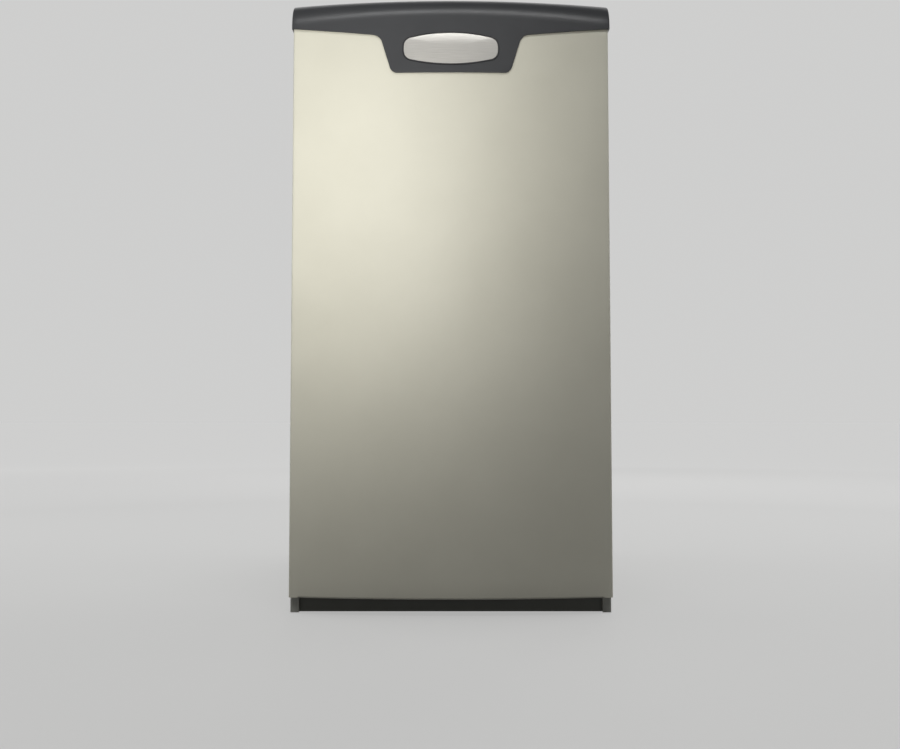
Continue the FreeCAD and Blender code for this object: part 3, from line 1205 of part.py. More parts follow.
# Pressure switch on a bracket above the header, and its hose
switch_x = s.switch_side
switch_z = s.switch_height
bracket_half = s.switch_radius / 2
port_end = switch_z - s.switch_radius - s.port_length
node("pressure_switch", fuse(
    rod("y", switch_x, switch_front, switch_z, s.switch_radius, s.switch_depth),
    rod("y", switch_x, port_y - s.switch_rim_depth / 2, switch_z, s.switch_radius + s.switch_rim,
        s.switch_rim_depth),
    block(switch_x - bracket_half, switch_x + bracket_half, switch_back, vest_front,
          switch_z - bracket_half, switch_z + bracket_half),
    rod("z", switch_x, port_y, port_end, s.port_radius, s.switch_radius)))
hose_low = s.header_high + s.port_length - s.hose_lap
hose_bore = s.port_radius + s.slip_gap
node("pressure_tube", tube("z", switch_x, port_y, hose_low, hose_bore + s.hose_wall, hose_bore,
                           port_end + s.hose_lap - hose_low))

# Condensate trap on the deck, with a drain socket facing the left-hand entry
trap_right = -s.trap_left + s.trap_width
trap_top = deck + s.trap_height
drain_start = -inner + s.drain_short
trap_pieces = [
    block(-s.trap_left, trap_right, trap_y, header_front, deck, trap_top),
    rod("x", drain_start, drain_y, drain_z, s.drain_radius, -s.trap_left - drain_start)]
rib_pitch = s.trap_height / (s.trap_rib_count + 1)
for i in range(SIZES["trap_rib_count"]):
    z = deck + rib_pitch * (i + 1)
    trap_pieces.append(block(-s.trap_left - s.trap_rib, trap_right + s.trap_rib, trap_y - s.trap_rib,
                             header_front, z - s.trap_rib / 2, z + s.trap_rib / 2))
node("condensate_trap", cut(fuse(*trap_pieces), rod(
    "x", drain_start - s.overrun, drain_y, drain_z, s.drain_bore, s.overrun + s.drain_bore_depth)))

# Check every object, then write one file for each piece
document.recompute()
for thing in document.Objects:
    if "Invalid" in thing.State or "Error" in thing.State:
        raise RuntimeError(f"{thing.Name} ({thing.Label}) is in state {thing.State}")
os.makedirs("parts", exist_ok=True)
for label, thing in nodes.items():
    shape = thing.Shape
    if shape.isNull() or not shape.isValid() or not shape.Solids:
        raise RuntimeError(f"{label} has no valid solid")
    shape.exportStep(f"parts/{label}.step")
print(f"{len(nodes)} pieces written")
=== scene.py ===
# %% [markdown]
# # Dressing an upflow gas furnace
# The solids of the furnace come in as a fixed frame, in metres, with X to the right, Y to the back
# and Z up. This lesson keeps the solids that already look right and gives them good finishes, and
# models the pieces that need softer edges by hand: the bowed door, its moulded cap, the badge, the
# toe board, the pressed frames on the walls, and the foil and foam inside.

# %% Load the frame
import math
import bmesh
import bpy
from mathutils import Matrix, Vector


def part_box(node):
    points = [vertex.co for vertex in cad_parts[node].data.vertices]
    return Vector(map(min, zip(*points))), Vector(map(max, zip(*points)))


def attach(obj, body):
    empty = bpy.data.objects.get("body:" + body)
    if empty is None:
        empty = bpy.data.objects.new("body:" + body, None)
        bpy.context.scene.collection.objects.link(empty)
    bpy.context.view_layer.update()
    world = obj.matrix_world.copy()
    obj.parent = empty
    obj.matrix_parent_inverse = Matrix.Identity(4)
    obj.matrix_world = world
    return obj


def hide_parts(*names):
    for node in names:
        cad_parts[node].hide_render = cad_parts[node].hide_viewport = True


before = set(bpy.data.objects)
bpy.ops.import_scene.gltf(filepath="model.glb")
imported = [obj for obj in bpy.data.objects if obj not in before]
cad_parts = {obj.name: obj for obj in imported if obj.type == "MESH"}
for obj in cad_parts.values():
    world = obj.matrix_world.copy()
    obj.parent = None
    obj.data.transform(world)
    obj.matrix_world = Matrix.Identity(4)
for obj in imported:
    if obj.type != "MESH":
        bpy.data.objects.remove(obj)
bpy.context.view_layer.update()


def short(corner):
    """A corner of a box, rounded for printing."""
    return [round(v, 4) for v in corner]


# %% [markdown]
# ## Camera
# The picture is taken almost square on to the door, from about a third of its height. The lens is
# tipped up a few degrees, so that the upright edges draw together towards the top. More tip could
# also bring the door to its place in the frame, but would draw the edges together too much, so a
# small lens shift does the rest.

# %% Camera
CAMERA_PLACE = (0.0, -2.12175, 0.2857)
CAMERA_TIP = math.radians(4.22)
CAMERA_LENS = 51.143
CAMERA_SHIFT = (-0.0009, -0.0700)
SENSOR_WIDTH = 36.0
camera_data = bpy.data.cameras.new("photo_camera")
camera_data.lens = CAMERA_LENS
camera_data.sensor_width = SENSOR_WIDTH
camera_data.shift_x, camera_data.shift_y = CAMERA_SHIFT
camera = bpy.data.objects.new("photo_camera", camera_data)
camera.location = CAMERA_PLACE
camera.rotation_euler = (math.pi / 2 + CAMERA_TIP, 0.0, 0.0)
bpy.context.scene.collection.objects.link(camera)
bpy.context.scene.camera = camera
bpy.context.scene.view_settings.view_transform = "Standard"
print("camera at", CAMERA_PLACE)

# %% [markdown]
# ## Floor and world
# A pale floor runs into a pale world, so that the object stands in a plain studio. Strong lamps could
# make them pale, but they would bleach the object too. So the camera, mirror and glass rays see the
# pale colour, while the light that falls on the object is weaker, and colours render about as they
# are written. Away from the object less lamp light reaches the floor, so its own glow grows there.

# %% Colours for two kinds of ray
BLACK = (0.0, 0.0, 0.0, 1.0)


def seen_directly(tree):
    """One where a camera, mirror or glass ray meets the surface, and zero for scattered light."""
    path = tree.nodes.new("ShaderNodeLightPath")
    total = path.outputs["Is Camera Ray"]
    for ray in ("Is Glossy Ray", "Is Transmission Ray"):
        step = tree.nodes.new("ShaderNodeMath")
        step.operation = "MAXIMUM"
        tree.links.new(total, step.inputs[0])
        tree.links.new(path.outputs[ray], step.inputs[1])
        total = step.outputs[0]
    return total


def two_way_colour(tree, scattered, direct):
    """A colour for scattered light and another for what is seen directly."""
    mix = tree.nodes.new("ShaderNodeMix")
    mix.data_type = "RGBA"
    tree.links.new(seen_directly(tree), mix.inputs["Factor"])
    mix.inputs["A"].default_value = scattered
    mix.inputs["B"].default_value = direct
    return mix.outputs["Result"]


print("helpers", seen_directly.__name__, two_way_colour.__name__)

# %% [markdown]
# The floor is a large plane, half a millimetre under the furnace, so that the two never share a
# plane. A curved backdrop could hide the horizon, but the other views look from all round. So the
# floor's glow is mapped from the distance to its middle, and floor and world meet in one tone.

# %% Pale floor
FLOOR_SIZE, FLOOR_DROP = 40.0, 0.0005
FLOOR_SEEN = (0.17, 0.17, 0.168, 1.0)
FLOOR_BOUNCE = (0.17, 0.17, 0.166, 1.0)
FLOOR_ROUGHNESS, FLOOR_SHEEN = 0.9, 0.1
HORIZON = (0.62, 0.62, 0.615, 1.0)
GLOW_NEAR, GLOW_FAR = 0.68, 0.957
GLOW_START, GLOW_END = 1.8, 4.1
bpy.ops.object.select_all(action="DESELECT")
bpy.ops.mesh.primitive_plane_add(size=FLOOR_SIZE, location=(0.0, 0.0, -FLOOR_DROP))
floor = bpy.context.object
floor.name = "studio_floor"
floor_paint = bpy.data.materials.new("studio_floor")
floor_paint.use_nodes = True
floor_tree = floor_paint.node_tree
floor_shader = floor_tree.nodes["Principled BSDF"]
floor_tree.links.new(two_way_colour(floor_tree, FLOOR_BOUNCE, FLOOR_SEEN),
                     floor_shader.inputs["Base Color"])
floor_tree.links.new(two_way_colour(floor_tree, BLACK, HORIZON),
                     floor_shader.inputs["Emission Color"])
floor_place = floor_tree.nodes.new("ShaderNodeTexCoord")
floor_reach = floor_tree.nodes.new("ShaderNodeVectorMath")
floor_reach.operation = "LENGTH"
floor_glow = floor_tree.nodes.new("ShaderNodeMapRange")
for label, amount in (("From Min", GLOW_START), ("From Max", GLOW_END),
                      ("To Min", GLOW_NEAR), ("To Max", GLOW_FAR)):
    floor_glow.inputs[label].default_value = amount
floor_tree.links.new(floor_place.outputs["Object"], floor_reach.inputs[0])
floor_tree.links.new(floor_reach.outputs["Value"], floor_glow.inputs["Value"])
floor_tree.links.new(floor_glow.outputs["Result"], floor_shader.inputs["Emission Strength"])
floor_shader.inputs["Roughness"].default_value = FLOOR_ROUGHNESS
floor_shader.inputs["Specular IOR Level"].default_value = FLOOR_SHEEN
floor.data.materials.append(floor_paint)
print("floor", floor.name)

# %% [markdown]
# Behind the floor the world shows the same pale tone up to well over the horizon, and darkens from
# there. One even colour could be used, but under a darker ceiling the surfaces that face up mirror
# less white.

# %% Pale world
CEILING = (0.10, 0.10, 0.10, 1.0)
AMBIENT = (0.085, 0.085, 0.086, 1.0)
PALE_BELOW, DARK_ABOVE = 0.31, 0.45
world = bpy.data.worlds.new("studio_world")
world.use_nodes = True
bpy.context.scene.world = world
sky_tree = world.node_tree
sky_place = sky_tree.nodes.new("ShaderNodeTexCoord")
sky_parts = sky_tree.nodes.new("ShaderNodeSeparateXYZ")
sky_ramp = sky_tree.nodes.new("ShaderNodeValToRGB")
for stop, place, colour in zip(sky_ramp.color_ramp.elements, (PALE_BELOW, DARK_ABOVE),
                               (HORIZON, CEILING)):
    stop.position, stop.color = place, colour
sky_tree.links.new(sky_place.outputs["Generated"], sky_parts.inputs["Vector"])
sky_tree.links.new(sky_parts.outputs["Z"], sky_ramp.inputs["Fac"])
sky_mix = two_way_colour(sky_tree, AMBIENT, HORIZON)
sky_tree.links.new(sky_ramp.outputs["Color"], sky_mix.node.inputs["B"])
sky_tree.links.new(sky_mix, sky_tree.nodes["Background"].inputs["Color"])
print("world", world.name)

# %% [markdown]
# ## Lamps
# A softbox close in front of the door, left of its middle, gives the paint its slow fade to the right
# and to the floor. A far lamp could light the door too, but evenly. A wide strip draws the light band
# along the cap's roll, and the other lamps light the walls that the front view doesn't show. Large
# lamps near bare metal would show in it as white patches, so most are hidden from mirror rays.

# %% Studio lamps
KEY_SPREAD = math.radians(105.6)
KEY_TINT = (1.0, 0.985, 0.95)
SIDE_OUT, SIDE_BACK, SIDE_HIGH = 2.3, 0.65, 1.5
WHITE_TINT = (1.0, 1.0, 1.0)


def softbox(name, place, aim, width, height, power, tint=WHITE_TINT, mirrored=True):
    """A rectangular area lamp that looks at a point, and that mirror rays may see or not."""
    lamp_data = bpy.data.lights.new(name, "AREA")
    lamp_data.shape = "RECTANGLE"
    lamp_data.size, lamp_data.size_y = width, height
    lamp_data.energy = power
    lamp_data.color = tint
    lamp = bpy.data.objects.new(name, lamp_data)
    lamp.location = place
    lamp.rotation_mode = "QUATERNION"
    lamp.rotation_quaternion = (Vector(aim) - Vector(place)).to_track_quat("-Z", "Y")
    lamp.visible_camera = False
    lamp.visible_glossy = mirrored
    bpy.context.scene.collection.objects.link(lamp)
    return lamp


key = softbox("key_box", place=(-0.17, -0.928, 0.612), aim=(-0.306, -0.345, 0.669),
              width=0.50, height=0.50, power=1.8, tint=KEY_TINT, mirrored=False)
key.data.spread = KEY_SPREAD
softbox("cap_strip", place=(0.0, -1.55, 2.05), aim=(0.0, -0.34, 0.84),
        width=2.20, height=0.22, power=17.5)
for side_name, side in (("right_side", 1.0), ("left_side", -1.0)):
    softbox(side_name, place=(side * SIDE_OUT, SIDE_BACK, SIDE_HIGH), aim=(0.0, 0.05, 0.45),
            width=2.0, height=2.2, power=30.0, mirrored=False)
softbox("behind", place=(0.4, 2.8, 1.9), aim=(0.0, 0.1, 0.45),
        width=2.4, height=1.8, power=40.0, mirrored=False)
softbox("overhead", place=(0.1, 1.7, 2.3), aim=(0.0, 0.1, 0.6),
        width=2.6, height=1.8, power=16.0)

# %% [markdown]
# ## Finishes
# Every slot of the record gets its own node material. One plain shader for each could do, but real
# surfaces are never quite even. So a finish starts as a plain shader, then patterns shade its colour,
# its gloss and its relief. Object coordinates are in metres, so a texture scale of 300 means a grain
# of about three millimetres.

# %% Helpers for colour and pattern
SCREEN_WHITE, SCREEN_KNEE, SCREEN_SLOPE = 255.0, 0.04045, 12.92
SCREEN_TOE, SCREEN_GAMMA = 0.055, 2.4
finishes = {}


def linear(red, green, blue):
    """A colour that is written as on a screen, as the shader wants it."""
    def straighten(part):
        part /= SCREEN_WHITE
        if part <= SCREEN_KNEE:
            return part / SCREEN_SLOPE
        return ((part + SCREEN_TOE) / (1.0 + SCREEN_TOE)) ** SCREEN_GAMMA
    return (straighten(red), straighten(green), straighten(blue), 1.0)


def new_finish(slot, **sockets):
    """A material for one slot, with constant values set on the shader's own sockets."""
    material = bpy.data.materials.new("finish_" + slot)
    material.use_nodes = True
    shader = material.node_tree.nodes["Principled BSDF"]
    for label, amount in sockets.items():
        shader.inputs[label.replace("_", " ")].default_value = amount
    finishes[slot] = material
    return material


def pattern(material, kind, stretch=(1.0, 1.0, 1.0), **amounts):
    """A texture on the piece's own coordinates, stretched along its axes."""
    tree = material.node_tree
    place = tree.nodes.new("ShaderNodeTexCoord")
    mapping = tree.nodes.new("ShaderNodeMapping")
    mapping.inputs["Scale"].default_value = stretch
    texture = tree.nodes.new("ShaderNodeTex" + kind)
    for label, amount in amounts.items():
        texture.inputs[label.replace("_", " ")].default_value = amount
    tree.links.new(place.outputs["Object"], mapping.inputs["Vector"])
    tree.links.new(mapping.outputs["Vector"], texture.inputs["Vector"])
    return texture


print("mid grey is", round(linear(128, 128, 128)[0], 3), "of white")

# %% [markdown]
# Three helpers link a texture to the shader: a ramp for the colour, a Map Range for the gloss and a
# Bump for the relief. They could be wired anew in each finish, but every finish needs them. Most
# of a noise lies near its middle, so the two colours of a ramp stand close to it by default.

# %% Helpers for shading
NOISE_LOW, NOISE_HIGH = 0.3, 0.7
GLOSS_LOW, GLOSS_HIGH = 0.25, 0.75


def level_of(texture):
    """The grey output of a texture."""
    for label in ("Fac", "Distance"):
        if label in texture.outputs:
            return texture.outputs[label]
    return texture.outputs[0]


def shade_colour(material, texture, dark, light, low=NOISE_LOW, high=NOISE_HIGH):
    """Two screen colours, driven by a texture between a low and a high level."""
    tree = material.node_tree
    ramp = tree.nodes.new("ShaderNodeValToRGB")
    for element, place, colour in zip(ramp.color_ramp.elements, (low, high), (dark, light)):
        element.position, element.color = place, linear(*colour)
    tree.links.new(level_of(texture), ramp.inputs["Fac"])
    tree.links.new(ramp.outputs["Color"], tree.nodes["Principled BSDF"].inputs["Base Color"])


def shade_gloss(material, texture, gloss):
    """Roughness between two values, driven by a texture."""
    tree = material.node_tree
    span = tree.nodes.new("ShaderNodeMapRange")
    span.inputs["From Min"].default_value, span.inputs["From Max"].default_value = GLOSS_LOW, GLOSS_HIGH
    span.inputs["To Min"].default_value, span.inputs["To Max"].default_value = gloss
    tree.links.new(level_of(texture), span.inputs["Value"])
    tree.links.new(span.outputs["Result"], tree.nodes["Principled BSDF"].inputs["Roughness"])


def add_relief(material, texture, height):
    """Relief of a real height in metres, driven by a texture, on top of any relief before it."""
    tree = material.node_tree
    bump = tree.nodes.new("ShaderNodeBump")
    bump.inputs["Strength"].default_value = 1.0
    bump.inputs["Distance"].default_value = height
    normal = tree.nodes["Principled BSDF"].inputs["Normal"]
    if normal.is_linked:
        tree.links.new(normal.links[0].from_socket, bump.inputs["Normal"])
    tree.links.new(level_of(texture), bump.inputs["Height"])
    tree.links.new(bump.outputs["Normal"], normal)


print("helpers", shade_colour.__name__, shade_gloss.__name__, add_relief.__name__)

# %% [markdown]
# ### Paints
# Powder coat on sheet steel is satin, with a faint orange peel a few millimetres across and an even
# finer tooth. A flat colour would look like card, so two noises bend the reflections a little. The
# colour hardly varies, so the ramp is narrow.

# %% Paint finishes
FINE_PEEL = 0.25


def powder_coat(slot, dark, light, gloss, peel):
    """A satin powder coat with a soft peel."""
    paint = new_finish(slot, Specular_IOR_Level=0.42)
    cloud = pattern(paint, "Noise", Scale=9.0, Detail=4.0, Roughness=0.55)
    shade_colour(paint, cloud, dark, light)
    shade_gloss(paint, pattern(paint, "Noise", Scale=60.0, Detail=3.0), gloss)
    add_relief(paint, pattern(paint, "Noise", Scale=420.0, Detail=2.0), peel)
    add_relief(paint, pattern(paint, "Noise", Scale=2600.0, Detail=1.0), peel * FINE_PEEL)


powder_coat("door_paint", (199, 197, 183), (204, 202, 188), gloss=(0.36, 0.42), peel=0.00003)
powder_coat("cabinet_paint", (182, 182, 175), (186, 186, 179), gloss=(0.40, 0.48), peel=0.00004)
powder_coat("kick_paint", (88, 89, 83), (96, 97, 91), gloss=(0.45, 0.55), peel=0.00004)
powder_coat("motor_shell", (38, 39, 42), (46, 47, 50), gloss=(0.36, 0.48), peel=0.00005)
print("paints", sorted(finishes))

# %% [markdown]
# ### Galvanised sheet and castings
# Galvanised sheet shows spangles, which are crystals of different grey. Noise would blur them, so a
# Voronoi cell gives each its tone and gloss. The gas valve is cast, with a fine sandy grain.

# %% Galvanised and cast finishes
galvanised = new_finish("galvanized", Metallic=0.92)
spangle = pattern(galvanised, "Voronoi", Scale=85.0, Randomness=1.0)
spangle_tone = galvanised.node_tree.nodes.new("ShaderNodeSeparateColor")
galvanised.node_tree.links.new(spangle.outputs["Color"], spangle_tone.inputs["Color"])
shade_colour(galvanised, spangle_tone, (176, 179, 182), (204, 206, 208), low=0.0, high=1.0)
shade_gloss(galvanised, spangle_tone, gloss=(0.34, 0.52))
add_relief(galvanised, pattern(galvanised, "Noise", Scale=240.0, Detail=3.0), height=0.00004)
casting = new_finish("valve_casting", Metallic=0.85)
grain = pattern(casting, "Noise", Scale=520.0, Detail=4.0)
casting_cloud = pattern(casting, "Noise", Scale=40.0, Detail=4.0)
shade_colour(casting, casting_cloud, (158, 160, 163), (188, 190, 192))
shade_gloss(casting, grain, gloss=(0.42, 0.58))
add_relief(casting, grain, height=0.00008)
print("finishes so far", len(finishes))

# %% [markdown]
# ### Drawn metals
# Tubes, pipes and the coil are drawn along their length, and the badge is brushed along its own.
# An image of scratches could show that, but a noise that is stretched into streaks stays sharp at any
# distance. The transformer's core shows its stacked sheets that way. Screws and brass have even
# streaks in all directions, which read as plain bright metal.

# %% Drawn metal finishes
STREAK_LOW, STREAK_HIGH = 0.32, 0.68
STREAK_RELIEF = 0.00003


def streaked_metal(slot, dark, light, gloss, stretch, metallic=1.0):
    """A drawn metal with fine streaks along one axis."""
    metal = new_finish(slot, Metallic=metallic)
    streaks = pattern(metal, "Noise", stretch=stretch, Scale=1.0, Detail=6.0, Roughness=0.6)
    shade_colour(metal, streaks, dark, light, low=STREAK_LOW, high=STREAK_HIGH)
    shade_gloss(metal, streaks, gloss)
    add_relief(metal, streaks, STREAK_RELIEF)


streaked_metal("zinc_hardware", (176, 178, 178), (212, 213, 210), gloss=(0.22, 0.36),
               stretch=(260, 260, 260))
streaked_metal("aluminised_tube", (150, 147, 140), (192, 189, 182), gloss=(0.34, 0.52),
               stretch=(180, 22, 180))
streaked_metal("coil_alloy", (170, 172, 174), (205, 207, 208), gloss=(0.26, 0.40),
               stretch=(300, 24, 120))
streaked_metal("core_steel", (52, 53, 56), (92, 93, 96), gloss=(0.38, 0.55),
               stretch=(12, 700, 12))
streaked_metal("brass_fitting", (186, 150, 84), (214, 180, 112), gloss=(0.22, 0.38),
               stretch=(220, 220, 220))
streaked_metal("gas_pipe", (34, 34, 35), (58, 57, 56), gloss=(0.48, 0.66),
               stretch=(60, 240, 240), metallic=0.6)
streaked_metal("badge_metal", (180, 178, 173), (198, 196, 191), gloss=(0.35, 0.43),
               stretch=(30, 30, 1500), metallic=0.62)
print("finishes so far", len(finishes))

# %% [markdown]
# ### Plastics, rubber and glass
# Moulded plastics get a spark-eroded tooth from their mould. It is too fine to model, so a fine noise
# breaks up the gloss. The cap is the one that shows most, so its tooth is finest. The control board
# is lacquered, and a brick pattern draws its tracks.

# %% Plastic finishes


def moulded(slot, dark, light, gloss, tooth, scale=1400.0, **sockets):
    """A moulded plastic or rubber with a fine tooth."""
    plastic = new_finish(slot, **sockets)
    cloud = pattern(plastic, "Noise", Scale=24.0, Detail=4.0)
    shade_colour(plastic, cloud, dark, light)
    shade_gloss(plastic, pattern(plastic, "Noise", Scale=90.0, Detail=3.0), gloss)
    add_relief(plastic, pattern(plastic, "Noise", Scale=scale, Detail=2.0), tooth)


moulded("cap_plastic", (51, 52, 54), (55, 56, 58), gloss=(0.34, 0.40), tooth=0.00002, scale=1800.0)
moulded("black_plastic", (28, 28, 30), (38, 38, 40), gloss=(0.42, 0.54), tooth=0.00006)
moulded("grey_plastic", (118, 120, 122), (132, 134, 136), gloss=(0.42, 0.52), tooth=0.00006)
moulded("white_pipe", (222, 223, 220), (233, 234, 231), gloss=(0.28, 0.36), tooth=0.00002)
moulded("rubber_black", (24, 24, 24), (36, 36, 35), gloss=(0.68, 0.82), tooth=0.00012, scale=700.0)
moulded("knob_blue", (30, 66, 132), (38, 78, 150), gloss=(0.34, 0.44), tooth=0.00004)
moulded("latch_plastic", (46, 46, 48), (58, 58, 60), gloss=(0.40, 0.50), tooth=0.00006)
moulded("nylon_white", (226, 224, 214), (236, 234, 226), gloss=(0.40, 0.50), tooth=0.00003)
moulded("white_ceramic", (226, 222, 212), (240, 237, 230), gloss=(0.55, 0.70), tooth=0.00008,
        scale=900.0)
moulded("clear_window", (232, 238, 238), (240, 244, 244), gloss=(0.05, 0.09), tooth=0.00001,
        Transmission_Weight=0.92, IOR=1.49)
board = new_finish("board_green")
tracks = pattern(board, "Brick", Scale=55.0, Mortar_Size=0.03, Mortar_Smooth=0.1)
shade_colour(board, tracks, (22, 74, 46), (46, 112, 74), low=0.0, high=1.0)
shade_gloss(board, pattern(board, "Noise", Scale=120.0), gloss=(0.26, 0.36))
add_relief(board, tracks, height=0.00005)
print("finishes so far", len(finishes))

# %% [markdown]
# ### Foil blanket and foam
# The foil face of the glass-fibre blanket is crumpled. Modelled creases would need very many faces,
# so two sizes of pattern bend its reflections. Closed-cell foam is dull, and its cut cells are small
# pits from a Voronoi pattern.

# %% Soft finishes
foil = new_finish("foil_blanket", Metallic=0.88)
crumple = pattern(foil, "Noise", Scale=28.0, Detail=8.0, Roughness=0.62)
shade_colour(foil, crumple, (182, 184, 186), (216, 218, 219))
shade_gloss(foil, crumple, gloss=(0.24, 0.42))
add_relief(foil, crumple, height=0.0022)
add_relief(foil, pattern(foil, "Voronoi", Scale=75.0), height=0.0004)
foam = new_finish("foam_gasket")
cells = pattern(foam, "Voronoi", Scale=900.0)
shade_colour(foam, cells, (70, 71, 73), (44, 45, 47), low=0.1, high=0.6)
shade_gloss(foam, cells, gloss=(0.80, 0.94))
add_relief(foam, cells, height=0.0003)
print("finishes so far", len(finishes))

# %% [markdown]
# The solids come in with one plain material for each slot. Painting them one by one would be slow
# and easy to get wrong, so a loop swaps each material for the finish of the same name.

# %% Finishes on the solids
painted = 0
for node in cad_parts.values():
    for holder in node.material_slots:
        holder.material = finishes[holder.material.name.split(".")[0]]
        painted += 1
print("slots painted", painted, "with", len(finishes), "finishes")

# %% [markdown]
# ## Hand tools
# A few small helpers stand for what a hand does in the window: enter edit mode, pick elements by
# their place, move and round them, apply a modifier, and put a finished piece on its body. Meshes
# could be written out point by point instead, but a piece that is shaped step by step stays easy to
# change.

# %% Tools that take a piece


def object_mode():
    """Leave edit mode if it is on."""
    if bpy.context.object and bpy.context.object.mode != "OBJECT":
        bpy.ops.object.mode_set(mode="OBJECT")


def take(piece):
    """Select one piece only, in object mode."""
    object_mode()
    bpy.ops.object.select_all(action="DESELECT")
    piece.select_set(True)
    bpy.context.view_layer.objects.active = piece


def edit(piece):
    """Go into edit mode on one piece only."""
    take(piece)
    bpy.ops.object.mode_set(mode="EDIT")


print("tools", object_mode.__name__, take.__name__, edit.__name__)

# %% [markdown]
# In the window, elements are picked with the mouse. A script could pick them by index, but indices
# change with almost every step. So it picks by a test: a vertex, edge or face is selected when its
# middle, or what is known about it, passes.

# %% Tools that select
CLOSE, NEAR = 1e-5, 1e-4


def middle(element):
    """The middle of a vertex, edge or face."""
    if hasattr(element, "co"):
        return element.co
    return sum((v.co for v in element.verts), Vector()) / len(element.verts)


def pick(kind, test):
    """Select the VERT, EDGE or FACE elements that pass a test of place and element; count them."""
    bpy.ops.mesh.select_mode(type=kind)
    bpy.ops.mesh.select_all(action="DESELECT")
    data = bpy.context.object.data
    mesh = bmesh.from_edit_mesh(data)
    found = [e for e in {"VERT": mesh.verts, "EDGE": mesh.edges, "FACE": mesh.faces}[kind]
             if test(middle(e), e)]
    for element in found:
        element.select_set(True)
    mesh.select_flush_mode()
    bmesh.update_edit_mesh(data)
    return len(found)


def pick_all():
    """Select the whole mesh."""
    bpy.ops.mesh.select_all(action="SELECT")


def folded(edge, angle):
    """Whether two faces meet at an edge, at more than an angle from flat."""
    return len(edge.link_faces) == 2 and edge.calc_face_angle() > angle


print("tools", pick.__name__, pick_all.__name__, "within", CLOSE, "or", NEAR)

# %% [markdown]
# The next tools shape what is selected. They wrap Blender's own operators, so that a step reads as
# what a hand does: push, pull out, flatten, round. The operators could be called in each step, but
# their long names would hide what is done.

# %% Tools that shape


def push(x=0.0, y=0.0, z=0.0):
    """Move the selection."""
    bpy.ops.transform.translate(value=(x, y, z))


def pull_out(x=0.0, y=0.0, z=0.0):
    """Extrude the selection along a vector."""
    bpy.ops.mesh.extrude_region_move(TRANSFORM_OT_translate={"value": (x, y, z)})


def flatten(y):
    """Press the selection flat onto an upright plane across the depth."""
    bpy.ops.transform.resize(value=(1.0, 0.0, 1.0), center_override=(0.0, y, 0.0))


def round_edges(radius, steps):
    """Bevel the selected edges."""
    bpy.ops.mesh.bevel(offset=radius, segments=steps, affect="EDGES")


def halve_long_edges(longest, rounds):
    """Cut edges in half, a few times over, where they are longer than a limit."""
    for _ in range(rounds):
        if pick("EDGE", lambda co, e: e.calc_length() > longest):
            bpy.ops.mesh.subdivide(number_cuts=1)


print("tools", push.__name__, pull_out.__name__, flatten.__name__, round_edges.__name__)

# %% [markdown]
# Faces must agree on which side is outside before a sheet gets its thickness. Blender can find the
# outside of a closed solid, but an open sheet has none. So a test says whether all faces are turned.

# %% Faces that agree


def looks_forward(mesh):
    """Whether the foremost face looks to the front."""
    return min(mesh.faces, key=lambda f: f.calc_center_median().y).normal.y < 0


def face_outwards(test=looks_forward):
    """Make the faces agree, and turn them all if the test says that they face the wrong way."""
    pick_all()
    bpy.ops.mesh.remove_doubles(threshold=CLOSE)
    bpy.ops.mesh.normals_make_consistent(inside=False)
    mesh = bmesh.from_edit_mesh(bpy.context.object.data)
    mesh.normal_update()
    if not test(mesh):
        bpy.ops.mesh.flip_normals()


print("tool", face_outwards.__name__, "with", looks_forward.__name__)

# %% [markdown]
# A finished piece lies at the origin, with its place in its mesh. Then it gets smooth shading that
# stops at sharp edges, its name, its finish and its body. Each piece could do this by itself, but
# with one tool nothing is forgotten.

# %% Tools that finish a piece


def freeze(piece):
    """Move a piece's place, turn and size into its mesh."""
    take(piece)
    bpy.ops.object.transform_apply(location=True, rotation=True, scale=True)


def apply(piece, kind, **settings):
    """Add one modifier and apply it."""
    object_mode()
    modifier = piece.modifiers.new(kind.lower(), kind)
    for label, amount in settings.items():
        setattr(modifier, label, amount)
    bpy.context.view_layer.objects.active = piece
    bpy.ops.object.modifier_apply(modifier=modifier.name)


def settle(piece, name, body, slot, *nodes, angle=35.0):
    """Give a piece its name, shading, finish and body, and hide the nodes that it stands for."""
    freeze(piece)
    bpy.ops.object.shade_smooth_by_angle(angle=math.radians(angle))
    piece.name = name
    piece.data.name = name
    piece.data.materials.clear()
    piece.data.materials.append(finishes[slot])
    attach(piece, body)
    if nodes:
        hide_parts(*nodes)
    print(name, "faces", len(piece.data.polygons), "on", body)


print("tools", freeze.__name__, apply.__name__, settle.__name__)

# %% [markdown]
# ## Door
# The real door is one sheet, rolled to a shallow bow and folded back along its edges. It could be cut
# from a cylinder, but an upright edge that is spun about the bow's centre gives clean columns of
# faces. Blender has no single edge to add, so a standing plane is cut down to one.

# %% Standing edge
STAND_UP = (math.pi / 2, 0.0, 0.0)


def standing_edge(x, y, z0, z1, cuts):
    """One upright edge: the left side of a standing plane, the rest of which is deleted."""
    height = z1 - z0
    bpy.ops.object.select_all(action="DESELECT")
    bpy.ops.mesh.primitive_plane_add(size=height, location=(x + height / 2, y, (z0 + z1) / 2),
                                     rotation=STAND_UP)
    piece = bpy.context.object
    freeze(piece)
    edit(piece)
    pick("VERT", lambda co, v: co.x > x + height / 2)
    bpy.ops.mesh.delete(type="VERT")
    pick_all()
    if cuts:
        bpy.ops.mesh.subdivide(number_cuts=cuts)
    return piece


print("tool", standing_edge.__name__)

# %% [markdown]
# The bow is a part of a circle. Its radius could be found by trial, but it follows from the door's
# half width and the depth of the bow. Many steps keep the curve smooth in its reflections.

# %% Bowed skin
DOOR_BOW = 0.022
DOOR_CUTS, DOOR_STEPS = 30, 64
door_low, door_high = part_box("door_panel")
door_half = door_high.x
bow_radius = (door_half ** 2 + DOOR_BOW ** 2) / (2 * DOOR_BOW)
bow_middle = door_low.y + bow_radius


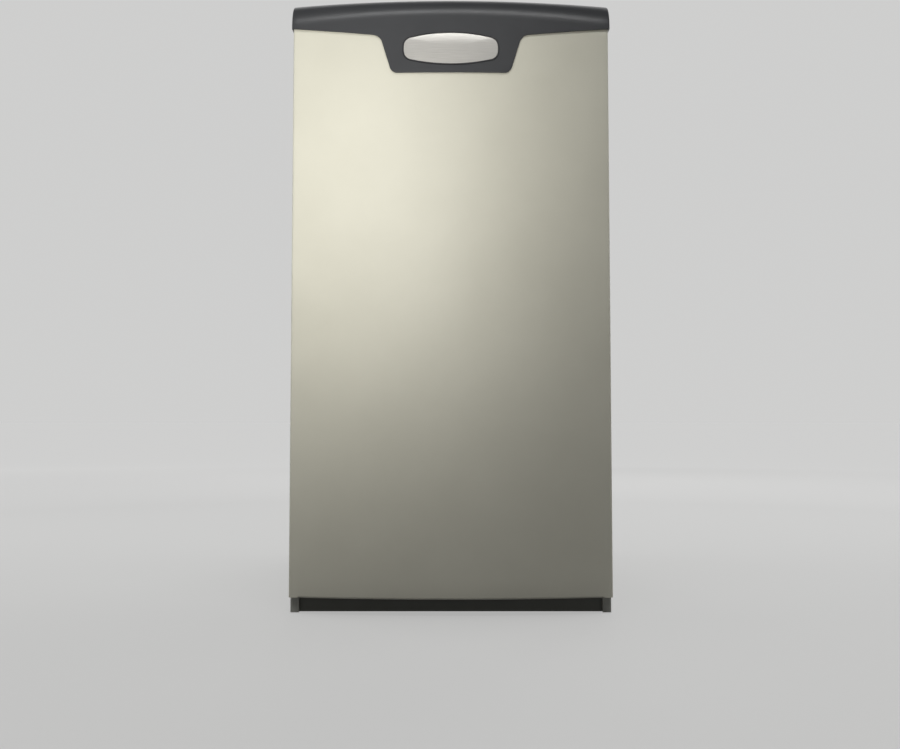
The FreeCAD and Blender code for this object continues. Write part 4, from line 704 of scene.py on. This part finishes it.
def bow_edge(half, radius):
    """How far back a bowed sheet's side edges stand."""
    return bow_middle - math.sqrt(radius ** 2 - half ** 2)


def bowed_sheet(half, radius, z0, z1, cuts):
    """An upright sheet that is bowed about the door's centre line."""
    piece = standing_edge(-half, bow_edge(half, radius), z0, z1, cuts)
    pick_all()
    bpy.ops.mesh.spin(steps=DOOR_STEPS, angle=-2 * math.asin(half / radius),
                      center=(0.0, bow_middle, 0.0), axis=(0.0, 0.0, 1.0))
    return piece


door = bowed_sheet(door_half, bow_radius, door_low.z, door_high.z, DOOR_CUTS)
door_edge_y = bow_edge(door_half, bow_radius)
print("door edge at", round(door_edge_y, 4), "bow radius", round(bow_radius, 4))

# %% [markdown]
# The sheet folds back along both sides, the top and the foot. Thin boxes could stand for the folds,
# but a fold that is extruded from the rim shares its edge, so that one bevel rounds it. The side
# folds are cut at a slope near the floor, and the foot's fold stops short of them.

# %% Folded rims
DOOR_SHEET, DOOR_ROUND = 0.001, 0.0028
RIM_PULL = 0.02
SILL_INSET, SILL_NOTCH = 0.0062, 0.014
SOFT_FOLD, SIDE_CUT_SLOPE = 0.7, 2.0
sill_back = door_high.y - SILL_INSET
side_cut_normal = Vector((0.0, SIDE_CUT_SLOPE, -1.0)).normalized()


def on_side(co):
    """Whether a place lies on the door's left or right side."""
    return abs(abs(co.x) - door_half) < NEAR


def on_rim(co, edge, height):
    """Whether an open edge lies along the bow at a height."""
    return edge.is_boundary and abs(co.z - height) < CLOSE and co.y < door_edge_y


pick("EDGE", lambda co, e: e.is_boundary and on_side(co))
pull_out(y=door_high.y - door_edge_y)
side_faces = pick("FACE", lambda co, f: on_side(co))
bpy.ops.mesh.bisect(plane_co=(0.0, sill_back, door_low.z), plane_no=side_cut_normal, clear_outer=True)
print("side folds", side_faces, "faces, cut at the foot")
pick("EDGE", lambda co, e: on_rim(co, e, door_high.z))
pull_out(y=RIM_PULL)
flatten(door_high.y)
pick("EDGE", lambda co, e: on_rim(co, e, door_low.z) and abs(co.x) < door_half - SILL_NOTCH)
pull_out(y=RIM_PULL)
flatten(sill_back)
face_outwards()
pick("EDGE", lambda co, e: folded(e, SOFT_FOLD))
round_edges(DOOR_ROUND, steps=5)
apply(door, "SOLIDIFY", thickness=DOOR_SHEET, offset=-1.0)
settle(door, "door_skin", "door", "door_paint", "door_panel", angle=30.0)

# %% [markdown]
# ## Cap
# The cap is one moulding: a face that follows the bow, a roll over the top that is wider at the ends,
# and a tab that hangs in the middle. A bent tube could give the roll, but the cross section changes
# all the way along. So the section is drawn once at the middle and extruded station by station. At
# each station the roll is scaled about the corner that it rounds, and the face is stretched down to
# the lower edge.

# %% Lower edge of the cap
TAB_DROP, SHOULDER_DROP, END_DROP = 0.1097, 0.0559, 0.0417
TAB_FOOT, TAB_TOP = 0.0830, 0.0996
FOOT_ROUND, SHOULDER_ROUND, ARC_STEPS = 0.011, 0.015, 8
FOOT_STATIONS, RUN_STEPS = (0.0, 0.02, 0.04, 0.058), 12
cap_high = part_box("door_cap")[1]
cap_top, cap_half, cap_rear = cap_high.z, cap_high.x, cap_high.y


def rounded(before, corner, after, radius):
    """Points of the arc that rounds a corner between two straight runs."""
    here = Vector(corner)
    way_in = (Vector(before) - here).normalized()
    way_out = (Vector(after) - here).normalized()
    half_angle = way_in.angle(way_out) / 2
    centre = here + (way_in + way_out).normalized() * (radius / math.sin(half_angle))
    reach = radius / math.tan(half_angle)
    first, last = here + way_in * reach - centre, here + way_out * reach - centre
    return [centre + first.slerp(last, i / ARC_STEPS).normalized() * radius
            for i in range(ARC_STEPS + 1)]


foot = (TAB_FOOT, cap_top - TAB_DROP)
shoulder = (TAB_TOP, cap_top - SHOULDER_DROP)
tip = (cap_half, cap_top - END_DROP)
lower_edge = [Vector((x, foot[1])) for x in FOOT_STATIONS]
lower_edge += rounded((0.0, foot[1]), foot, shoulder, FOOT_ROUND)
lower_edge += rounded(foot, shoulder, tip, SHOULDER_ROUND)
run_start = lower_edge[-1]
lower_edge += [run_start.lerp(Vector(tip), (i + 1) / RUN_STEPS) for i in range(RUN_STEPS)]
print("cap stations", len(lower_edge))

# %% [markdown]
# The first section stands at the middle of the tab: an upright edge for the face, a quarter turn
# for the roll, and a short run to the back. Its points could be typed in, but a spin keeps the roll
# a true arc.

# %% First section of the cap
CAP_PROUD = 0.0025
ROLL_MIDDLE, ROLL_END = 0.030, 0.040
FACE_ROWS, ROLL_ROWS = 12, 12


def cap_face_y(x):
    """Where the cap's face stands at a station."""
    return door_low.y - CAP_PROUD + DOOR_BOW * (x / cap_half) ** 2


def cap_roll(x):
    """How wide the roll is at a station."""
    return ROLL_MIDDLE + (ROLL_END - ROLL_MIDDLE) * (x / cap_half) ** 2


face_y, roll = cap_face_y(0.0), cap_roll(0.0)
cap = standing_edge(0.0, face_y, lower_edge[0].y, cap_top - roll, FACE_ROWS - 1)
pick("VERT", lambda co, v: abs(co.z - cap_top + roll) < CLOSE)
bpy.ops.mesh.spin(steps=ROLL_ROWS, angle=math.pi / 2, center=(0.0, face_y + roll, cap_top - roll),
                  axis=(1.0, 0.0, 0.0))
pick("VERT", lambda co, v: abs(co.z - cap_top) < CLOSE)
pull_out(y=cap_rear - face_y - roll)
section = bmesh.from_edit_mesh(cap.data)
print("section points", len(section.verts), "top", round(max(v.co.z for v in section.verts), 4))

# %% [markdown]
# Now the section goes out to the right end. Finished sections could be bridged, but then each has
# to be drawn. Here each new section is extruded from the last, its rear edge is put back in line,
# and its face and roll are sized for the new place.

# %% Stations of the cap
low_z = lower_edge[0].y
for last, spot in zip(lower_edge, lower_edge[1:]):
    new_y, new_roll = cap_face_y(spot.x), cap_roll(spot.x)
    start_z, new_start_z = cap_top - roll, cap_top - new_roll
    forward = new_y - face_y
    pick("VERT", lambda co, v: abs(co.x - last.x) < CLOSE)
    pull_out(x=spot.x - last.x, y=forward)
    pick("VERT", lambda co, v: abs(co.x - spot.x) < CLOSE and co.y > cap_rear + forward - CLOSE)
    push(y=-forward)
    pick("VERT", lambda co, v: abs(co.x - spot.x) < CLOSE and co.z < start_z - CLOSE)
    push(z=new_start_z - start_z)
    stretch = (new_start_z - spot.y) / (start_z - low_z)
    bpy.ops.transform.resize(value=(1.0, 1.0, stretch), center_override=(0.0, 0.0, new_start_z))
    pick("VERT", lambda co, v: abs(co.x - spot.x) < CLOSE and co.y < cap_rear - CLOSE
         and co.z > start_z - CLOSE)
    scale = new_roll / roll
    bpy.ops.transform.resize(value=(1.0, scale, scale), center_override=(0.0, new_y, cap_top))
    face_y, roll, low_z = new_y, new_roll, spot.y
print("cap ends at", round(spot.x, 4), round(low_z, 4))

# %% [markdown]
# At its rear the cap turns down to the cabinet's top, and a flat face closes each end. Only the
# right half is made, since a mirror adds the left one. The edges are rounded, a Solidify gives the
# wall, and the lower lip gets a finer round, because it shows against the pale door.

# %% Ends, back and wall of the cap
CAP_WALL, CAP_ROUND = 0.0021, 0.0022
STEP_GAP = 0.0015
LIP_ROUND, LIP_REACH, LIP_FOLD = 0.0006, 0.003, 1.0
step_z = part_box("top_panel")[1].z + STEP_GAP
step_y = door_high.y
pick("EDGE", lambda co, e: e.is_boundary and co.y > cap_rear - CLOSE)
pull_out(z=step_z - cap_top)
pick("VERT", lambda co, v: abs(co.x - cap_half) < CLOSE and abs(co.z - step_z) < CLOSE)
pull_out(y=step_y - cap_rear)
pull_out(z=tip[1] - step_z)
pick("VERT", lambda co, v: abs(co.x - cap_half) < CLOSE)
bpy.ops.mesh.edge_face_add()
apply(cap, "MIRROR", use_axis=(True, False, False), merge_threshold=NEAR)
edit(cap)
face_outwards()
pick("EDGE", lambda co, e: folded(e, SOFT_FOLD))
round_edges(CAP_ROUND, steps=4)
apply(cap, "SOLIDIFY", thickness=CAP_WALL, offset=-1.0)
edit(cap)
pick("EDGE", lambda co, e: folded(e, LIP_FOLD) and co.z < tip[1] + LIP_REACH and co.y < step_y)
round_edges(LIP_ROUND, steps=2)
settle(cap, "crown_cap", "door", "cap_plastic", "door_cap", angle=40.0)

# %% [markdown]
# ## Badge
# The badge is a bare silver plate, barrel-shaped and gently domed, in a thin black band that is
# painted shade: it stands for the shadow in the gap round the plate. A squashed sphere would miss its
# outline, so that is taken from a copy of the node: the front of the copy is kept, and only its rim
# stays as a closed line.

# %% Rim of the badge
FRONT_FACING = -0.8
RIM_LONGEST, RIM_ROUNDS = 0.004, 3
badge_low, badge_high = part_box("badge")
badge_centre = (0.0, 0.0, (badge_low.z + badge_high.z) / 2)


def badge_rim(name):
    """A flat closed line with the badge's outline, from a copy of the node's front."""
    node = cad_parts["badge"]
    copy = bpy.data.objects.new(name, node.data.copy())
    bpy.context.scene.collection.objects.link(copy)
    edit(copy)
    pick_all()
    bpy.ops.mesh.remove_doubles(threshold=CLOSE)
    pick("FACE", lambda co, f: f.normal.y > FRONT_FACING)
    bpy.ops.mesh.delete(type="FACE")
    pick("EDGE", lambda co, e: not e.is_boundary)
    bpy.ops.mesh.delete(type="EDGE_FACE")
    pick_all()
    flatten(0.0)
    halve_long_edges(RIM_LONGEST, RIM_ROUNDS)
    pick_all()
    return copy


plate = badge_rim("badge_plate")
rim_mesh = bmesh.from_edit_mesh(plate.data)
print("rim points", len(rim_mesh.verts), "edges", len(rim_mesh.edges))

# %% [markdown]
# The rim is filled and gets its edge. A face could be subdivided and inflated, but its grid would
# show in the reflections. So rows that shrink to the middle, each less steep than the one before,
# build the dome, and a bend lays it on the bowed tab.

# %% Domed plate
DOME_ROWS = (0.03, 0.07, 0.13, 0.21, 0.31, 0.43, 0.57, 0.72, 0.87)
DOME_RISE, DOME_PROUD = 0.0028, 0.0008
BADGE_EDGE = 0.0012
SQUARE_ON = 0.9


def lay_on_tab(piece, depth):
    """Bend a flat piece round the bow, and set its front at a depth."""
    low = min(v.co.x for v in piece.data.vertices)
    high = max(v.co.x for v in piece.data.vertices)
    apply(piece, "SIMPLE_DEFORM", deform_method="BEND", deform_axis="Z",
          angle=(high - low) / bow_radius)
    front = min(v.co.y for v in piece.data.vertices)
    edit(piece)
    pick_all()
    push(y=depth - front)


bpy.ops.mesh.edge_face_add()
pull_out(y=-BADGE_EDGE)
pick("FACE", lambda co, f: co.y < -BADGE_EDGE + CLOSE and abs(f.normal.y) > SQUARE_ON)
for outer, inner in zip((0.0,) + DOME_ROWS, DOME_ROWS):
    shrink = (1.0 - inner) / (1.0 - outer)
    bpy.ops.mesh.extrude_region_move()
    bpy.ops.transform.resize(value=(shrink, 1.0, shrink), center_override=badge_centre)
    push(y=DOME_RISE * ((1.0 - inner) ** 2 - (1.0 - outer) ** 2))
face_outwards()
lay_on_tab(plate, badge_low.y - DOME_PROUD)
settle(plate, "badge_plate", "door", "badge_metal", "badge", angle=50.0)
print("badge box", short(plate.bound_box[0]), short(plate.bound_box[6]))

# %% [markdown]
# The dark band round the badge is a thin raised lip in black plastic. Its black is painted shade, for
# the shadow in the gap round the plate. A bevelled curve could follow the rim, but the rim's own line
# is at hand: it is extruded and scaled out to a band, and the band is raised and rounded.

# %% Ring round the badge
RING_WIDTH, RING_RISE, RING_ROUND = 0.0021, 0.0016, 0.0005
RING_PROUD = 0.0009
RIM_FOLD = 0.9
shade_ring = badge_rim("badge_shade_ring")
badge_half = (badge_high - badge_low) / 2
bpy.ops.mesh.extrude_region_move()
bpy.ops.transform.resize(
    value=(1.0 + RING_WIDTH / badge_half.x, 1.0, 1.0 + RING_WIDTH / badge_half.z),
    center_override=badge_centre)
pick_all()
pull_out(y=-RING_RISE)
face_outwards()
pick("EDGE", lambda co, e: folded(e, RIM_FOLD) and co.y < -RING_RISE / 2)
round_edges(RING_ROUND, steps=3)
lay_on_tab(shade_ring, door_low.y - CAP_PROUD - RING_PROUD)
# Painted shade: the black finish of this band stands for the shadow in the gap round the badge.
settle(shade_ring, "badge_shade_ring", "door", "black_plastic", angle=50.0)

# %% [markdown]
# ## Toe board
# Below the door a flat dark plate closes the base. The solid would do, but its edges are razor sharp.
# So a cube of the plate's size gets a shallow groove along its top, as a hem has, and the edges there
# are rounded.

# %% Toe board
HEM_EDGE, HEM_GROOVE, HEM_ROUND = 0.0002, 0.0006, 0.0004
HEM_FOLD = 1.2
toe_low, toe_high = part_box("kick_plate")
bpy.ops.object.select_all(action="DESELECT")
bpy.ops.mesh.primitive_cube_add(size=1.0, location=(toe_low + toe_high) / 2, scale=toe_high - toe_low)
toe = bpy.context.object
freeze(toe)
edit(toe)
pick("FACE", lambda co, f: f.normal.z > SQUARE_ON)
bpy.ops.mesh.inset(thickness=HEM_EDGE)
pull_out(z=-HEM_GROOVE)
pick("EDGE", lambda co, e: folded(e, HEM_FOLD) and abs(co.z - toe_high.z) < NEAR)
round_edges(HEM_ROUND, steps=3)
settle(toe, "toe_board", "cabinet", "kick_paint", "kick_plate")

# %% [markdown]
# ## Pressed frames on the cabinet
# The sides and the back carry a shallow pressed frame that marks where a return-air opening can be
# cut. Bump in the paint could hint at it, but a real edge also holds up in the exported mesh. A flat
# sheet gets round corners, an inset leaves a band round its middle, the middle is deleted, and the
# band is raised and rounded over. It is made facing the front.

# %% Pressed frame
FRAME_BAND, FRAME_RISE, FRAME_SINK = 0.012, 0.0011, 0.0003
FRAME_CORNER, FRAME_ROUND = 0.035, 0.0009
SIDE_FRAME, BACK_FRAME, FRAME_HEIGHT = 0.48, 0.34, 0.29


def standing_sheet(width, height, centre=(0.0, 0.0, 0.0)):
    """A flat upright sheet across the depth, open for editing and selected all over."""
    bpy.ops.object.select_all(action="DESELECT")
    bpy.ops.mesh.primitive_plane_add(size=1.0, location=centre, rotation=STAND_UP)
    piece = bpy.context.object
    piece.scale = (width, height, 1.0)
    freeze(piece)
    edit(piece)
    pick_all()
    return piece


def pressed_frame(width):
    """A low rounded band round a marked opening."""
    piece = standing_sheet(width, FRAME_HEIGHT)
    bpy.ops.mesh.bevel(offset=FRAME_CORNER, segments=8, affect="VERTICES")
    pick_all()
    bpy.ops.mesh.inset(thickness=FRAME_BAND)
    bpy.ops.mesh.delete(type="FACE")
    pick_all()
    pull_out(y=-FRAME_RISE - FRAME_SINK)
    face_outwards()
    pick("EDGE", lambda co, e: co.y < -FRAME_RISE and folded(e, RIM_FOLD))
    round_edges(FRAME_ROUND, steps=3)
    object_mode()
    return piece


right_frame = pressed_frame(SIDE_FRAME)
print("frame faces", len(right_frame.data.polygons))

# %% [markdown]
# The two sides are alike, so the left frame is a copy of the right one. It could share the mesh, but a
# piece's place is in its mesh, so the copy has its own. Each frame is turned to its wall, and sunk
# into it a little.

# %% Frames on the walls
FRAME_Y, FRAME_Z = 0.03, 0.205
wall_low, wall_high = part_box("cabinet_wrapper")


def copy_of(piece):
    """A copy with its own mesh."""
    twin = piece.copy()
    twin.data = piece.data.copy()
    bpy.context.collection.objects.link(twin)
    return twin


def hang_frame(piece, name, x, y, turn):
    """Turn a frame to its wall and settle it there."""
    piece.location = (x, y, FRAME_Z)
    piece.rotation_euler = (0.0, 0.0, turn)
    settle(piece, name, "cabinet", "cabinet_paint", angle=50.0)


left_frame = copy_of(right_frame)
hang_frame(right_frame, "right_frame", wall_high.x - FRAME_SINK, FRAME_Y, math.pi / 2)
hang_frame(left_frame, "left_frame", wall_low.x + FRAME_SINK, FRAME_Y, -math.pi / 2)
hang_frame(pressed_frame(BACK_FRAME), "back_frame", 0.0, wall_high.y - FRAME_SINK, math.pi)
print("wall box", short(wall_low), short(wall_high))

# %% [markdown]
# ## Door blanket
# Behind the bow lies a glass-fibre blanket with a foil face, held by pins. A block would look hard,
# so the bowed sheet is extruded as a whole and pressed flat at the back, its rim is rounded, and each
# pin pulls the foil in. Proportional editing makes those soft hollows, as a finger would.

# %% Door blanket
PAD_GAP, PAD_BACK_GAP = 0.001, 0.0005
PAD_CUTS, PAD_PULL, PAD_ROUND = 40, 0.01, 0.006
PIN_COLUMNS, PIN_ROWS = (-0.150, 0.0, 0.150), (0.14, 0.38, 0.62, 0.86)
PIN_PATCH, PIN_SKIN = 0.008, 0.0012
PIN_HOLLOW, PIN_REACH = 0.005, 0.055
PAD_UNEVEN = 0.0005
pad_low, pad_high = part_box("door_insulation")
blanket = bowed_sheet(pad_high.x - PAD_GAP, bow_middle - pad_low.y - PAD_GAP,
                      pad_low.z + PAD_GAP, pad_high.z - PAD_GAP, PAD_CUTS)
pick_all()
pull_out(y=PAD_PULL)
flatten(pad_high.y - PAD_BACK_GAP)
face_outwards()
pick("EDGE", lambda co, e: folded(e, SOFT_FOLD))
round_edges(PAD_ROUND, steps=4)
pin_spots = [(x, pad_low.z + (pad_high.z - pad_low.z) * share)
             for x in PIN_COLUMNS for share in PIN_ROWS]
for pin_x, pin_z in pin_spots:
    pick("VERT", lambda co, v: co.y > pad_high.y - PIN_SKIN
         and (co.x - pin_x) ** 2 + (co.z - pin_z) ** 2 < PIN_PATCH ** 2)
    bpy.ops.transform.translate(value=(0.0, -PIN_HOLLOW, 0.0), use_proportional_edit=True,
                                use_proportional_connected=True, proportional_edit_falloff="SMOOTH",
                                proportional_size=PIN_REACH)
pick_all()
bpy.ops.transform.vertex_random(offset=PAD_UNEVEN, seed=5)
settle(blanket, "door_blanket", "door", "foil_blanket", "door_insulation", angle=60.0)

# %% [markdown]
# A pin ends in a pressed washer with a raised middle. A bare disc would look like a sticker, so the
# washer's face is inset and raised twice. One is made, the others are copies with their own mesh, and
# all are joined into one piece.

# %% Blanket pins
WASHER_RADIUS, WASHER_SHEET, WASHER_SIDES = 0.015, 0.0006, 28
WASHER_SLOPE, WASHER_RISE = 0.006, 0.0008
BOSS_SLOPE, BOSS_EDGE, BOSS_RISE = 0.006, 0.0012, 0.002
WASHER_SINK = 0.0002
bpy.ops.object.select_all(action="DESELECT")
bpy.ops.mesh.primitive_cylinder_add(vertices=WASHER_SIDES, radius=WASHER_RADIUS, depth=WASHER_SHEET,
                                    location=(0.0, 0.0, 0.0), rotation=(-math.pi / 2, 0.0, 0.0))
washer = bpy.context.object
freeze(washer)
edit(washer)
pick("FACE", lambda co, f: f.normal.y > SQUARE_ON)
bpy.ops.mesh.inset(thickness=WASHER_SLOPE)
push(y=WASHER_RISE)
bpy.ops.mesh.inset(thickness=BOSS_SLOPE)
bpy.ops.mesh.inset(thickness=BOSS_EDGE)
pull_out(y=BOSS_RISE)
object_mode()
pins = [washer] + [copy_of(washer) for _ in pin_spots[1:]]
for pin, (pin_x, pin_z) in zip(pins, pin_spots):
    pin.location = (pin_x, pad_high.y - PIN_HOLLOW - WASHER_SINK, pin_z)
    freeze(pin)
take(pins[0])
for pin in pins:
    pin.select_set(True)
bpy.ops.object.join()
settle(pins[0], "blanket_pins", "door", "zinc_hardware", angle=30.0)

# %% [markdown]
# ## Wall blanket
# The walls of the heat section carry a thinner foil blanket in one length, round three sides. Three
# flat slabs would meet in hard corners, so an upright edge is extruded along the walls and the
# corners are rounded. The foil is ruffled a little, and a Solidify gives the thickness towards the
# wall.

# %% Wall blanket
LINER_THICK, LINER_STAND = 0.0052, 0.006
LINER_GAP, LINER_CORNER = 0.0005, 0.016
LINER_LONGEST, LINER_ROUNDS = 0.024, 5
LINER_UNEVEN = 0.0006
liner_low, liner_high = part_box("cabinet_liner")
liner_half = liner_high.x - LINER_STAND
liner_run = liner_high.y - LINER_STAND - liner_low.y - LINER_GAP
liner = standing_edge(-liner_half, liner_low.y + LINER_GAP, liner_low.z + LINER_GAP,
                      liner_high.z - LINER_GAP, 0)
pull_out(y=liner_run)
pull_out(x=2 * liner_half)
pull_out(y=-liner_run)
pick("EDGE", lambda co, e: len(e.link_faces) == 2)
round_edges(LINER_CORNER, steps=6)
halve_long_edges(LINER_LONGEST, LINER_ROUNDS)
pick_all()
bpy.ops.transform.vertex_random(offset=LINER_UNEVEN, seed=8)
face_outwards(lambda mesh: max(mesh.faces, key=lambda f: f.calc_center_median().y).normal.y < 0)
apply(liner, "SOLIDIFY", thickness=LINER_THICK, offset=-1.0)
settle(liner, "wall_blanket", "cabinet", "foil_blanket", "cabinet_liner", angle=60.0)

# %% [markdown]
# ## Foam seal
# A strip of closed-cell foam runs round the opening of the burner space. Four bars could make it, but
# they would show joints at the corners. So it starts as a standing sheet with one inset, whose middle
# is deleted. The frame is extruded to the door, rounded, and left a little uneven, as foam that has
# been pressed.

# %% Foam seal
SEAL_WIDTH, SEAL_GAP = 0.009, 0.0002
SEAL_LONGEST, SEAL_ROUNDS = 0.012, 6
SEAL_ROUND, SEAL_FRONT = 0.0011, 0.001
SEAL_UNEVEN = 0.0001
seal_low, seal_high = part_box("vestibule_gasket")
seal_size = seal_high - seal_low
seal = standing_sheet(seal_size.x, seal_size.z, ((seal_low.x + seal_high.x) / 2, seal_high.y,
                                                 (seal_low.z + seal_high.z) / 2))
bpy.ops.mesh.inset(thickness=SEAL_WIDTH)
bpy.ops.mesh.delete(type="FACE")
halve_long_edges(SEAL_LONGEST, SEAL_ROUNDS)
pick_all()
pull_out(y=-(seal_size.y - SEAL_GAP))
face_outwards()
pick("EDGE", lambda co, e: folded(e, RIM_FOLD) and co.y < seal_low.y + SEAL_FRONT)
round_edges(SEAL_ROUND, steps=3)
pick_all()
bpy.ops.transform.vertex_random(offset=SEAL_UNEVEN, seed=3)
settle(seal, "foam_seal", "cabinet", "foam_gasket", "vestibule_gasket", angle=60.0)
